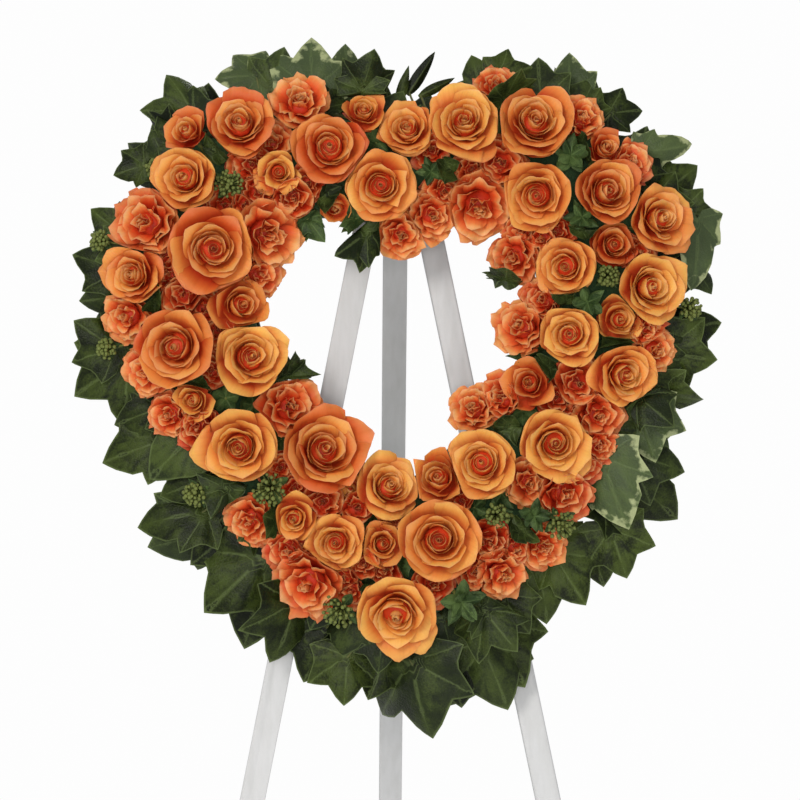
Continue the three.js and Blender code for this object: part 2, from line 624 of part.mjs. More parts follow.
const pivotY = SLAT_THICKNESS + GAP + BLOCK_DEPTH + PIVOT_BEHIND_BLOCK;
const pivotZ = LEG_TOP + 3 - PIVOT_BELOW_TOP;
const cheekInner = SLAT_WIDTH / 2 + 0.6;
const cheekOuter = cheekInner + CHEEK_THICKNESS;
const boltRod = (x0, x1, radius) =>
  rod(v3(x0, pivotY, pivotZ), v3(x1, pivotY, pivotZ), radius, ROUND_SIDES);

function topBlock() {
  const front = SLAT_THICKNESS + GAP;
  const rear = front + BLOCK_DEPTH;
  const top = LEG_TOP + 3;
  const cheekTop = top - 4;
  const cheeks = [-cheekOuter, cheekInner].map((x) =>
    box(x, x + CHEEK_THICKNESS, rear - 1, rear + CHEEK_DEPTH, pivotZ - 16, cheekTop),
  );
  const body = box(-BLOCK_HALF_WIDTH, BLOCK_HALF_WIDTH, front, rear, top - BLOCK_HEIGHT, top);
  const boltHole = toSolid(boltRod(-cheekOuter - 2, cheekOuter + 2, BOLT_HOLE_RADIUS));
  return joined([body, ...cheeks]).subtract(boltHole);
}

function pivotBolt() {
  const seat = cheekOuter + GAP;
  return joined([
    boltRod(-seat - 3, seat + 9, BOLT_RADIUS),
    boltRod(-seat - 4, -seat, 2.2 * BOLT_RADIUS),
  ]);
}

function wingNut() {
  const seat = cheekOuter + GAP;
  const wing = (sign) => box(seat + 1, seat + 5, pivotY - 1.2, pivotY + 1.2,
    pivotZ + (sign > 0 ? 4 : -14), pivotZ + (sign > 0 ? 14 : -4));
  return joined([boltRod(seat, seat + 6, 6.2), wing(1), wing(-1)])
    .subtract(toSolid(boltRod(seat - 1, seat + 8, BOLT_RADIUS + 0.4)));
}

// The rear leg turns on the bolt, and its upper end stops on the block when it is open.
const openAngle = LEAN + REAR_SPREAD;
const pivotHeight = HEART_CENTRE_HEIGHT + pivotZ * Math.cos(LEAN) - pivotY * Math.sin(LEAN);
function rearLeg() {
  const half = SLAT_THICKNESS / 2;
  const stub = (PIVOT_BEHIND_BLOCK - GAP - half * Math.cos(openAngle)) / Math.sin(openAngle);
  const foot = (y) => -(pivotHeight + y * Math.sin(REAR_SPREAD)) / Math.cos(REAR_SPREAD);
  const wide = SLAT_WIDTH / 2;
  const end = (zAt) =>
    [[-wide, -half], [wide, -half], [wide, half], [-wide, half]].map(([x, y]) => v3(x, y, zAt(y)));
  const slat = toSolid(hexahedron(end(foot), end(() => stub)));
  const hole = rod(v3(-wide - 1, 0, 0), v3(wide + 1, 0, 0), BOLT_HOLE_RADIUS, ROUND_SIDES);
  return slat.subtract(toSolid(hole));
}

const placed = (lists) =>
  Object.entries(lists).map(([name, heads]) => ({ name, heads: heads.map(placeHead) }));
const bloomBunches = placed(BLOOMS);
const sprigBunches = placed(SPRIGS);
const allHeads = [...bloomBunches, ...sprigBunches].flatMap(({ heads }) => heads);
const trails = Object.entries(IVY).map(([name, leaves]) => ({ name, ...trailParts(leaves) }));

const holes = [...allHeads.map(stemHole), ...trails.map(({ plug }) => plugHole(plug))];
const foam = holes.reduce((solid, hole) => solid.subtract(hole), foamSolid());

const leaning = new THREE.Group();
leaning.rotation.x = -LEAN;
leaning.position.z = HEART_CENTRE_HEIGHT;
[["left", -1], ["right", 1]].forEach(([side, sign]) => {
  const hole = toSolid(pegRod(sign, PEG_HOLE_RADIUS, 5, SLAT_THICKNESS + 5));
  const leg = toSolid(frontLeg(sign)).subtract(hole);
  leaning.add(node(`front_leg_${side}`, toGeometry(leg), colours.paint));
  leaning.add(node(`peg_${side}`, pegRod(sign, PEG_RADIUS, PEG_REACH, SLAT_THICKNESS + 2), colours.paint));
});
leaning.add(node("top_block", toGeometry(topBlock()), colours.paint));
leaning.add(node("pivot_bolt", toGeometry(pivotBolt()), colours.steel));
leaning.add(node("wing_nut", toGeometry(wingNut()), colours.steel));
leaning.add(node("foam_tray", trayGeometry(), colours.tray));
leaning.add(node("foam_heart", toGeometry(foam), colours.foam));
bloomBunches.forEach(({ name, heads }) => {
  const material = name.startsWith("carnation") ? colours.carnation : colours.rose;
  leaning.add(node(name, toGeometry(bunchSolid(heads, allHeads)), material));
});
sprigBunches.forEach(({ name, heads }) => {
  leaning.add(node(name, toGeometry(bunchSolid(heads, allHeads)), colours.sprig));
});
trails.forEach(({ name, pieces }) => leaning.add(node(name, toGeometry(joined(pieces)), colours.ivy)));

const rear = new THREE.Group();
rear.position.set(0, pivotY * Math.cos(LEAN) + pivotZ * Math.sin(LEAN), pivotHeight);
rear.rotation.x = REAR_SPREAD;
rear.add(node("rear_leg", toGeometry(rearLeg()), colours.paint));

// The origin is on the floor, under the middle of the whole wreath and easel.
const wreath = new THREE.Group();
wreath.add(leaning, rear);
const extent = new THREE.Box3().setFromObject(wreath, true);
const middle = extent.getCenter(v3(0, 0, 0));
wreath.position.set(-middle.x, -middle.y, -extent.min.z);

export default wreath;
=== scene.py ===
import math

import bmesh
import bpy
import numpy as np
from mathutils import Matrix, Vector


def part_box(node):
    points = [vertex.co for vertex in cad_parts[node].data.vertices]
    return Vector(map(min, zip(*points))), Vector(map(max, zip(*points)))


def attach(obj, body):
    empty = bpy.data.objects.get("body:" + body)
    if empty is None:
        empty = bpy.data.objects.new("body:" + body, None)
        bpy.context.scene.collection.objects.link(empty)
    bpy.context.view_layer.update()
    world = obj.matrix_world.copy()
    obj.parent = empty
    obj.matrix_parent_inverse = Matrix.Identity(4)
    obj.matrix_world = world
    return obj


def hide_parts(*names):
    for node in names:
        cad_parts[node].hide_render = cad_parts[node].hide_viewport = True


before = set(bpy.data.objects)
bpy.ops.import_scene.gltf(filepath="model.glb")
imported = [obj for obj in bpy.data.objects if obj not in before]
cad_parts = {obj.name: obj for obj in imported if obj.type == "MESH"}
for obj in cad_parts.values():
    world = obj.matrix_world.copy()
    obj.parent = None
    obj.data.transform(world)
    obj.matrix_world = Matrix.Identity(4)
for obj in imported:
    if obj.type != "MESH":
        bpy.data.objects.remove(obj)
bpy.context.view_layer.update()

bl_info = {
    "name": "Heart wreath looks",
    "version": (1, 0, 0),
    "blender": (4, 5, 0),
    "location": "View3D > Sidebar > Wreath",
    "description": "Builds the petals, leaves, foam and easel of a heart wreath around its CAD frame",
    "category": "Object",
}

STAND = "stand"
REAR = "rear_leg"
MM = 0.001
TURN = 2 * math.pi
GOLDEN_ANGLE = math.pi * (3 - math.sqrt(5))

LEAN = math.radians(10)
HEART_HEIGHT = 1.190
FRONT_FOOT_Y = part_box("front_leg_left")[0].y
HEART_CENTRE = np.array([0, FRONT_FOOT_Y + HEART_HEIGHT * math.tan(LEAN), HEART_HEIGHT])
LEAN_AXES = np.array([
    [1, 0, 0],
    [0, math.cos(LEAN), -math.sin(LEAN)],
    [0, math.sin(LEAN), math.cos(LEAN)],
])

OUTER_HEART = dict(cleft=200, lobe_x=122, lobe_z=242, side=228, side_z=95, tip=-222)
INNER_HEART = dict(cleft=128, lobe_x=68, lobe_z=152, side=128, side_z=75, tip=-92)
CAD_STEPS = (4, 4, 6)
TRAY_BACK, TRAY_WALL, TRAY_DEPTH = 0.3, 2.5, 13
FOAM_FRONT, FOAM_BEVEL = 50, 8
STEM_DEPTH, STEM_RADIUS, STEM_OFF_MIDDLE = 24, 2.2, 32
MOST_TILT, TILT_REACH = math.radians(26), 52
# A leaf's or a head's room between its neighbours, all in mm but the margin, a share of its radius
LEAF_CELL_RADIUS, LEAF_CELL_DEPTH = 13.0, 10.0
LEAF_ROOM, PETAL_ROOM, FROND_ROOM = -1.0, 1.5, 3
PRESS_MARGIN, PRESS_REACH, PRESS_EXTRA = 0.3, 1.5, 14
# A head's root lies this share of its height behind its centre
ROOT_SHARE = 0.6

HEIGHT_SHARE = dict(rose=1.05, small_rose=1.3, carnation=1.15, rosette=0.8, berries=1.7)
NECK = dict(rose=8, small_rose=8, carnation=5, rosette=24, berries=18)

# Where each head stands: kind, right of the middle, above the heart's centre, across, lift
BLOOMS = {
    "roses_top_middle": [("small_rose", -31, 239, 36, 0), ("rose", 7, 223, 48, 0)],
    "roses_top_right": [("rose", 56, 228, 66, 6), ("rose", 117, 228, 68, 4),
                        ("carnation", 85, 262, 34, -4)],
    "roses_right_lobe": [("rose", 119, 165, 62, 6), ("rose", 180, 168, 60, 4),
                         ("small_rose", 186, 122, 40, 0)],
    "roses_right_edge": [("rose", 226, 144, 58, 0), ("rose", 217, 85, 58, 4)],
    "roses_right_inner": [("rose", 144, 103, 54, 4), ("rose", 147, 44, 54, 6)],
    "roses_right_low": [("rose", 194, 9, 58, 4), ("small_rose", 190, 57, 40, 2),
                        ("carnation", 223, 30, 36, -4)],
    "roses_lower_right": [("rose", 133, -50, 62, 6), ("rose", 70, -67, 60, 2)],
    "roses_low_middle": [("small_rose", 33, -80, 44, -2), ("rose", -11, -87, 56, 2)],
    "roses_lower_left": [("rose", -67, -55, 72, 6), ("rose", -140, -52, 66, 6),
                         ("small_rose", -45, -90, 24, 0)],
    "roses_bottom": [("rose", 32, -133, 70, 8), ("rose", -5, -197, 70, 8)],
    "roses_bottom_left": [("rose", -57, -135, 52, 2), ("small_rose", -93, -114, 40, 6),
                          ("small_rose", -16, -137, 36, 0), ("carnation", -131, -117, 42, -2)],
    "roses_left": [("rose", -130, 26, 64, 4), ("rose", -195, 35, 70, 6)],
    "roses_left_upper": [("small_rose", -138, 71, 48, 2), ("rose", -162, 119, 76, 8)],
    "roses_left_shoulder": [("rose", -186, 181, 56, 4), ("small_rose", -184, 222, 34, 0)],
    "rose_left_lobe": [("rose", -138, 228, 58, 4)],
    "roses_cleft_left": [("rose", -61, 207, 66, 6), ("rose", -17, 174, 64, 8),
                         ("small_rose", -56, 155, 24, -2)],
    "roses_left_edge": [("rose", -231, 97, 54, 0), ("carnation", -221, 143, 56, 0),
                        ("carnation", -238, 61, 42, -4)],
    "roses_left_low": [("small_rose", -180, -11, 34, 4), ("carnation", -201, -24, 38, -4),
                       ("carnation", -221, 13, 42, -2)],
    "roses_right_gap": [("small_rose", 112, 2, 42, 2), ("carnation", 105, 52, 46, -4)],
    "roses_right_crown": [("small_rose", 179, 206, 32, 0), ("carnation", 160, 233, 36, -2)],
    "carnations_left_lobe": [("carnation", -86, 248, 46, 0), ("carnation", -110, 213, 34, -2),
                             ("small_rose", -105, 186, 34, 6)],
    "carnation_left_inner": [("carnation", -114, 132, 58, 0)],
    "carnation_left_gap": [("carnation", -96, -17, 50, 0)],
    "carnation_bottom_left": [("carnation", -82, -172, 58, -2)],
    "carnations_cleft": [("carnation", 1, 132, 38, -4), ("carnation", 29, 148, 42, -4),
                         ("carnation", 69, 155, 58, -2), ("carnation", 99, 112, 42, -4)],
    "carnation_right": [("carnation", 172, -26, 44, -2)],
    "carnation_low_right": [("carnation", 112, -84, 40, -2)],
    "carnations_bottom_right": [("carnation", 88, -165, 42, -2), ("carnation", 123, -141, 38, -4)],
    "carnation_right_inner": [("carnation", 64, -19, 38, -4)],
}
SPRIGS = {
    "berries_left_lobe": [("berries", -148, 176, 24, 0)],
    "sprig_cleft": [("rosette", 27, 186, 22, 0)],
    "sprig_right_lobe": [("rosette", 149, 200, 34, 0)],
    "sprig_right_upper": [("rosette", 158, 146, 30, 0)],
    "sprig_right_middle": [("rosette", 162, 72, 30, 0), ("berries", 181, 95, 20, 0)],
    "sprig_lower_right": [("berries", 84, -113, 22, 0), ("rosette", 116, -114, 28, 0),
                          ("berries", 140, -122, 26, 0)],
    "berries_lower_left": [("berries", -115, -90, 30, 0)],
    "berries_bottom_left": [("berries", -56, -197, 30, 0)],
    "sprig_bottom": [("rosette", 53, -189, 38, 0)],
}

# Berries that stand out of the ivy
IVY_BERRIES = [("berries", -212, 190, 20, -16), ("berries", -262, 128, 20, -20),
               ("berries", -257, 34, 18, -20), ("berries", -180, -94, 22, -8),
               ("berries", 256, 66, 20, -18)]

# Leaves tucked in among the blooms: right, up, direction in degrees, length, forward
AMONG = [
    (-214, 78, 200, 42, 68), (-160, 206, 100, 36, 72), (-176, 4, 330, 38, 68), (-66, 166, 250, 44, 64),
    (-28, 134, 200, 36, 60), (-32, 258, 80, 34, 62), (42, 190, 300, 38, 72), (145, 74, 170, 40, 74),
    (96, 104, 300, 26, 60), (128, 14, 230, 34, 72), (96, -36, 240, 34, 70), (-98, 8, 200, 34, 66),
    (-108, -116, 300, 38, 70), (156, 204, 60, 38, 70), (158, 138, 100, 38, 74), (187, 38, 20, 32, 70),
    (104, -126, 200, 38, 70), (-152, -88, 120, 38, 68), (206, -10, 330, 38, 66), (90, 254, 90, 36, 60),
    (-30, -172, 200, 36, 66), (72, -196, 300, 40, 64),
]

# Ivy leaves: shape, stalk end right and up, tip right and up, forward of the legs, rise of the tip,
# cream share
IVY = {
    "ivy_top_left": [
        ("ivy", -119, 244, -161, 273, 30, 0, 0.7), ("ivy", -110, 251, -100, 299, 36, 2, 0.2),
        ("ivy", -76, 251, -77, 308, 44, 0, 0.8), ("ivy", -50, 245, -43, 301, 36, 2, 0.7),
        ("ivy", -41, 244, -14, 280, 28, -2, 0), ("lance", -6, 245, -16, 273, 40, 2, 0),
        ("lance", -1, 245, 9, 281, 44, 2, 0), ("lance", 11, 251, 33, 293, 38, 2, 0),
        ("lance", 22, 246, 50, 270, 40, 2, 0)],
    "ivy_left_shoulder": [
        ("ivy", -169, 224, -200, 277, 42, 0, 0.1), ("ivy", -184, 209, -223, 238, 36, 0, 0),
        ("ivy", -204, 184, -250, 186, 42, 0, 0)],
    "ivy_left": [
        ("ivy", -225, 132, -272, 156, 30, 0, 0), ("ivy", -236, 103, -286, 118, 36, 2, 0),
        ("ivy", -234, 83, -281, 73, 30, 0, 0.1), ("ivy", -230, 39, -285, 59, 42, 0, 0),
        ("ivy", -225, 30, -286, -7, 34, 2, 0)],
    "ivy_lower_left": [
        ("ivy", -201, -13, -251, -33, 38, 0, 0), ("ivy", -204, -45, -263, -64, 32, 0, 0),
        ("heart", -172, -35, -220, -75, 52, 8, 0.15), ("ivy", -169, -78, -210, -97, 47, 0, 0)],
    "ivy_left_flank": [
        ("ivy", -169, -109, -231, -115, 41, 2, 0), ("ivy", -163, -122, -220, -147, 35, 0, 0.25),
        ("ivy", -138, -117, -184, -157, 34, 0, 0), ("ivy", -119, -148, -173, -198, 44, 0, 0),
        ("ivy", -112, -161, -143, -230, 30, 0, 0)],
    "ivy_bottom_left": [
        ("ivy", -93, -187, -105, -244, 50, 0, 0), ("ivy", -64, -209, -84, -261, 34, 0, 0),
        ("ivy", -47, -235, -50, -280, 42, 2, 0), ("ivy", -12, -235, -29, -276, 32, 0, 0),
        ("ivy", 10, -235, 17, -311, 49, 2, 0.1)],
    "ivy_bottom_right": [
        ("ivy", 45, -226, 50, -285, 32, 0, 0), ("ivy", 70, -226, 97, -285, 42, 2, 0.1),
        ("ivy", 75, -209, 110, -267, 30, 0, 0), ("ivy", 88, -184, 113, -219, 46, 0, 0)],
    "ivy_right_flank": [
        ("ivy", 118, -157, 134, -210, 34, 0, 0), ("ivy", 133, -146, 163, -194, 42, 0, 0),
        ("ivy", 170, -131, 177, -179, 32, 0, 0), ("ivy", 184, -126, 199, -171, 44, 0, 0),
        ("ivy", 179, -104, 212, -134, 36, 2, 0)],
    "ivy_lower_right": [
        ("ivy", 199, -77, 247, -121, 28, 0, 0), ("ivy", 203, -61, 252, -75, 42, 0, 0.1),
        ("ivy", 176, -62, 194, -127, 60, 6, 0.75), ("ivy", 210, -22, 222, -68, 50, 4, 0.7),
        ("ivy", 214, -39, 249, -29, 36, 0, 0.4)],
    "ivy_right": [
        ("ivy", 223, -4, 268, -16, 32, 0, 0), ("ivy", 231, 30, 280, 20, 42, 0, 0),
        ("ivy", 236, 48, 284, 57, 34, 2, 0)],
    "ivy_right_shoulder": [
        ("folded", 262, 146, 262, 84, 44, 6, 0.8), ("ivy", 240, 108, 278, 81, 30, 0, 0.2),
        ("ivy", 234, 170, 266, 193, 34, 0, 0), ("folded", 200, 196, 258, 208, 44, 4, 0.8),
        ("ivy", 247, 152, 281, 148, 38, 0, 0.1)],
    "ivy_top_right": [
        ("ivy", 173, 222, 216, 245, 34, 0, 0), ("ivy", 162, 233, 178, 262, 42, 0, 0),
        ("ivy", 151, 251, 149, 293, 36, 2, 0.6), ("ivy", 76, 245, 65, 292, 34, 0, 0.1),
        ("ivy", 88, 248, 118, 280, 42, 2, 0)],
}
VINE_RADIUS, VINE_FORWARD, VINE_OFF_FOAM = 1.6, 34, 3.5
VINE_POINTS, VINE_ENTRY = 14, (-18, -8)
STALK_RADIUS, STALK_TONE = 1.0, (0.5, 0, 1)
LEAF_OFF_FOAM, MOST_STEPS_OUT = 3, 30
# How far forward the extra leaves of a trail stand, in turn
EXTRA_FORWARD = (22, 47, 27, 50)


def unit(vectors):
    return vectors / (np.linalg.norm(vectors, axis=-1, keepdims=True) + 1e-12)


def to_world(points):
    """Wreath millimetres turned back by the lean and moved to the heart's centre, in metres."""
    return HEART_CENTRE + MM * (np.asarray(points) @ LEAN_AXES)


# Outlines of the heart

def bezier(corners, steps):
    """Points of a cubic curve at even steps, without its last end."""
    t = np.arange(steps)[:, None] / steps
    a, b, c, d = (np.array(corner, float) for corner in corners)
    return a * (1 - t) ** 3 + 3 * b * t * (1 - t) ** 2 + 3 * c * t ** 2 * (1 - t) + d * t ** 3


def heart_outline(cleft, lobe_x, lobe_z, side, side_z, tip, steps=CAD_STEPS):
    """Three curves down the heart's left half from its cleft to its tip, mirrored for the right half."""
    height = side_z - tip
    curves = [
        [(0, cleft), (-0.1 * lobe_x, lobe_z - 0.25 * (lobe_z - cleft)), (-0.5 * lobe_x, lobe_z),
         (-lobe_x, lobe_z)],
        [(-lobe_x, lobe_z), (-lobe_x - 0.55 * (side - lobe_x), lobe_z),
         (-side, side_z + 0.55 * (lobe_z - side_z)), (-side, side_z)],
        [(-side, side_z), (-side, side_z - 0.33 * height), (-0.4 * side, tip + 0.18 * height), (0, tip)],
    ]
    left = np.concatenate([bezier(curve, count) for curve, count in zip(curves, steps)])
    right = left[:0:-1] * (-1, 1)
    return np.concatenate([left, [(0, tip)], right])


def offset_outline(outline, distance):
    """Each corner moved outwards along the bisector of its two edges, further where the corner is sharp."""
    before = unit(outline - np.roll(outline, 1, axis=0))
    after = unit(np.roll(outline, -1, axis=0) - outline)
    along = unit(before + after)
    corner = np.maximum(0.5, np.sum(along * after, axis=1))
    return outline + (distance / corner)[:, None] * np.stack([along[:, 1], -along[:, 0]], axis=1)


def nearest_on(outline, points):
    """For each point, the nearest of the closed outline, its distance and its place along the corners."""
    points = np.atleast_2d(points)
    edge = np.roll(outline, -1, axis=0) - outline
    off = points[:, None] - outline[None]
    share = np.clip(np.sum(off * edge, axis=2) / np.sum(edge * edge, axis=1), 0, 1)
    at = outline[None] + share[..., None] * edge[None]
    distance = np.linalg.norm(points[:, None] - at, axis=2)
    best = np.argmin(distance, axis=1)
    row = np.arange(len(points))
    return at[row, best], distance[row, best], best + share[row, best]


def distance_outside(outline, points):
    """Distance to the outline, negative inside it, by counting the edges that lie to the right."""
    points = np.atleast_2d(points)
    after = np.roll(outline, -1, axis=0)
    x, y = points[:, :1], points[:, 1:]
    level = (outline[:, 1] > y) != (after[:, 1] > y)
    rise = np.where(after[:, 1] == outline[:, 1], 1e-9, after[:, 1] - outline[:, 1])
    crossing = outline[:, 0] + (after[:, 0] - outline[:, 0]) * (y - outline[:, 1]) / rise
    inside = np.sum(level & (x < crossing), axis=1) % 2 == 1
    return nearest_on(outline, points)[1] * np.where(inside, -1, 1)


CAD_OUTER = heart_outline(**OUTER_HEART)
CAD_INNER = heart_outline(**INNER_HEART)
CAD_MIDDLE = (CAD_OUTER + CAD_INNER) / 2


def edge_point(place, off, forward):
    """A point beside the foam's outer edge, at a place along its corners."""
    outline = offset_outline(CAD_OUTER, off)
    k = math.floor(place)
    share = place - k
    x, z = outline[k % len(outline)] * (1 - share) + outline[(k + 1) % len(outline)] * share
    return np.array([x, -forward, z])


# Gathering and making meshes

class Surface:
    """Many small surfaces gathered into one mesh: points, triangles, a flat pattern place and a tone each,
    and whether a point lies on a thin skin's rim, where the shading breaks."""

    def __init__(self):
        self.points, self.faces, self.flat, self.tone, self.rim, self.count = [], [], [], [], [], 0

    def add(self, points, faces, flat=(0.5, 0.5), tone=(0, 0, 0), rim=False):
        points = np.asarray(points, float).reshape(-1, 3)
        self.points.append(points)
        self.rim.append(np.broadcast_to(rim, len(points)))
        self.faces.append(np.asarray(faces) + self.count)
        self.flat.append(np.broadcast_to(np.asarray(flat, float), (len(points), 2)))
        self.tone.append(np.broadcast_to(np.asarray(tone, float), (len(points), 3)))
        self.count += len(points)

    def piece(self, name, material, slot, replaces=()):
        points = to_world(np.concatenate(self.points))
        faces = np.concatenate(self.faces).astype(np.int32)
        flat, tone = np.concatenate(self.flat), np.concatenate(self.tone)
        mesh = bpy.data.meshes.new(name)
        mesh.vertices.add(len(points))
        mesh.vertices.foreach_set("co", points.astype(np.float32).ravel())
        mesh.loops.add(faces.size)
        mesh.loops.foreach_set("vertex_index", faces.ravel())
        mesh.polygons.add(len(faces))
        mesh.polygons.foreach_set("loop_start", np.arange(0, faces.size, 3, dtype=np.int32))
        mesh.polygons.foreach_set("use_smooth", np.ones(len(faces), bool))
        mesh.update(calc_edges=True)
        ends = np.empty(2 * len(mesh.edges), np.int32)
        mesh.edges.foreach_get("vertices", ends)
        on_rim = np.concatenate(self.rim)[ends.reshape(-1, 2)].all(axis=1)
        mesh.attributes.new("sharp_edge", "BOOLEAN", "EDGE").data.foreach_set("value", on_rim)
        layer = mesh.uv_layers.new(name="Flat")
        layer.data.foreach_set("uv", flat[faces.ravel()].astype(np.float32).ravel())
        colours = mesh.attributes.new("tone", "FLOAT_COLOR", "POINT")
        colours.data.foreach_set("color", np.c_[tone, np.ones(len(tone))].astype(np.float32).ravel())
        mesh.validate()
        mesh.materials.append(material)
        piece = bpy.data.objects.new(name, mesh)
        bpy.context.scene.collection.objects.link(piece)
        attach(piece, STAND)
        if replaces:
            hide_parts(*replaces)


def grid_faces(index, flip=False):
    """Two triangles for each cell of a grid of point numbers, without those that a pole closes up."""
    a, b, c, d = index[:-1, :-1], index[1:, :-1], index[1:, 1:], index[:-1, 1:]
    faces = np.stack([a, b, c, a, c, d], axis=-1).reshape(-1, 3)
    keep = (faces[:, 0] != faces[:, 1]) & (faces[:, 1] != faces[:, 2]) & (faces[:, 0] != faces[:, 2])
    return faces[keep][:, ::-1] if flip else faces[keep]


def capped_faces(rings, sides, flip=True):
    """Faces between rings of points, closed at both ends by a point each that comes after the rings."""
    count = rings * sides
    index = np.arange(count).reshape(rings, sides)
    first, last = (np.full((1, sides + 1), count + end) for end in (0, 1))
    return grid_faces(np.concatenate([first, np.c_[index, index[:, :1]], last]), flip)


def add_shells(surface, front, thickness, flat, tone, pole=False):
    """Closed thin skins. Each sheet's front is a grid, and its back is the grid moved a thickness along the
    inward normal, joined to the front at its rim. With a pole, the grid's first column is one point."""
    sheets, nu, nv, _ = front.shape
    normal = unit(np.cross(np.gradient(front, axis=1), np.gradient(front, axis=2)))
    if pole:
        normal[:, :, 0] = unit(np.mean(normal[:, :, 1], axis=1, keepdims=True))
    within = (slice(1, -1), slice(0 if pole else 1, nv - 1))
    back = front[:, *within] - thickness * normal[:, *within]
    index = np.arange(nu * nv).reshape(nu, nv)
    back_index = index.copy()
    inner = back_index[within]
    inner[:] = nu * nv + np.arange(inner.size).reshape(inner.shape)
    if pole:
        index[:, 0] = 0
        back_index[:, 0] = nu * nv
    faces = np.concatenate([grid_faces(index), grid_faces(back_index, flip=True)])
    count = nu * nv + inner.size
    faces = (faces[None] + count * np.arange(sheets)[:, None, None]).reshape(-1, 3)
    points = np.concatenate([front.reshape(sheets, -1, 3), back.reshape(sheets, -1, 3)], axis=1)
    flat = np.broadcast_to(flat, (sheets, nu, nv, 2))
    flat_back = flat[:, *within].reshape(sheets, -1, 2)
    flats = np.concatenate([flat.reshape(sheets, -1, 2), flat_back], axis=1)
    tones = np.broadcast_to(np.asarray(tone).reshape(-1, 1, 3), (sheets, count, 3))
    rim = np.zeros(count, bool)
    rim[index[[0, -1]]] = True
    rim[index[:, -1]] = True
    if not pole:
        rim[index[:, 0]] = True
    used, numbers = np.unique(faces, return_inverse=True)
    surface.add(points.reshape(-1, 3)[used], numbers.reshape(faces.shape), flats.reshape(-1, 2)[used],
                tones.reshape(-1, 3)[used], np.tile(rim, sheets)[used])


def add_tube(surface, line, radius, sides, tone=STALK_TONE):
    """A round section carried along a line of points, closed by a point at each end."""
    line = np.asarray(line, float)
    along = unit(np.gradient(line, axis=0))
    across = (1.0, 0, 0) if abs(along[len(line) // 2, 1]) > 0.9 else (0, 1.0, 0)
    u = unit(np.cross(across, along))
    w = np.cross(along, u)
    angle = np.arange(sides) / sides * TURN
    ring = u[:, None] * np.cos(angle)[None, :, None] + w[:, None] * np.sin(angle)[None, :, None]
    points = np.concatenate([(line[:, None] + radius * ring).reshape(-1, 3), line[:1], line[-1:]])
    surface.add(points, capped_faces(len(line), sides), tone=tone)


def add_lathe(surface, profile, at, axis, sides, tone, flat=(0.5, 0.5)):
    """A profile of (distance along the axis, radius) turned about it, closed by a point at each end."""
    axis = unit(np.asarray(axis, float))
    across = np.array([1.0, 0, 0]) if abs(axis[0]) < 0.9 else np.array([0, 1.0, 0])
    u = unit(np.cross(axis, across))
    w = np.cross(axis, u)
    along, radius = np.asarray(profile, float).T
    angle = np.arange(sides) / sides * TURN
    ring = u * np.cos(angle)[:, None] + w * np.sin(angle)[:, None]
    middle = np.asarray(at) + along[:, None] * axis
    points = (middle[:, None] + radius[:, None, None] * ring[None]).reshape(-1, 3)
    points = np.concatenate([points, middle[:1], middle[-1:]])
    surface.add(points, capped_faces(len(along), sides), flat, tone)


def add_balls(surface, centres, radii, tones, rows=4, sides=8):
    """Small spheres from rows of latitude, each closed at its poles."""
    latitude = np.linspace(0, math.pi, rows + 2)[1:-1]
    angle = np.arange(sides) / sides * TURN
    across, up = np.sin(latitude), np.outer(np.cos(latitude), np.ones(sides))
    ring = np.stack([np.outer(across, np.cos(angle)), np.outer(across, np.sin(angle)), up], axis=-1)
    ball = np.concatenate([ring.reshape(-1, 3), [[0, 0, 1], [0, 0, -1]]])
    faces = capped_faces(rows, sides, flip=False)
    for centre, radius, tone in zip(centres, radii, tones):
        surface.add(centre + ball * radius, faces, tone=tone)


# Heads: where they stand, and the planes that part them

def place_head(kind, x, z, across, lift):
    """A head leans out from the middle of the foam. Its stem runs on into the foam."""
    radius = across / 2
    height = radius * HEIGHT_SHARE[kind]
    at, distance, _ = nearest_on(CAD_MIDDLE, (x, z))
    out = unit(np.array([x, z]) - at[0])
    tilt = MOST_TILT * min(distance[0] / TILT_REACH, 1.1)
    axis = np.array([out[0] * math.sin(tilt), -math.cos(tilt), out[1] * math.sin(tilt)])
    centre = np.array([x, -(FOAM_FRONT + NECK[kind] + lift + ROOT_SHARE * height), z])
    root = centre - ROOT_SHARE * height * axis
    straight = root + axis * (-FOAM_FRONT - root[1]) / axis[1]
    middle, off, _ = nearest_on(CAD_MIDDLE, straight[[0, 2]])
    entry_xz = middle[0] + (straight[[0, 2]] - middle[0]) * min(1, STEM_OFF_MIDDLE / off[0])
    entry = np.array([entry_xz[0], -FOAM_FRONT, entry_xz[1]])
    tip = entry + unit(entry - root) * STEM_DEPTH
    u = unit(np.cross((0, 0, 1), axis))
    return dict(kind=kind, radius=radius, height=height, axis=axis, centre=centre, root=root, tip=tip,
                u=u, w=np.cross(axis, u))


def press(points, head, others, room):
    """Petals pressed back smoothly by the planes half way to the neighbours: a distance past a plane's
    margin shrinks towards it and never crosses it."""
    for other in others:
        if other is head:
            continue
        towards = other["centre"] - head["centre"]
        apart = np.linalg.norm(towards)
        if apart > PRESS_REACH * (head["radius"] + other["radius"]) + PRESS_EXTRA:
            continue
        normal = towards / apart
        limit = (apart ** 2 + head["radius"] ** 2 - other["radius"] ** 2) / (2 * apart) + room
        margin = PRESS_MARGIN * head["radius"]
        past = (points - head["centre"]) @ normal - limit + margin
        pressed = margin * (1 - np.exp(-np.maximum(past, 0) / margin))
        points = points - np.where(past > 0, past - pressed, 0)[..., None] * normal
    return points


def in_head(points, head, across, up):
    """A head's own unit shape (axis up) at its place in the wreath, with its width and height in mm."""
    return (head["root"] + points[..., :1] * across * head["u"] + points[..., 1:2] * across * head["w"]
            + points[..., 2:] * up * head["axis"])


def mix(a, b, t):
    return a + (b - a) * t


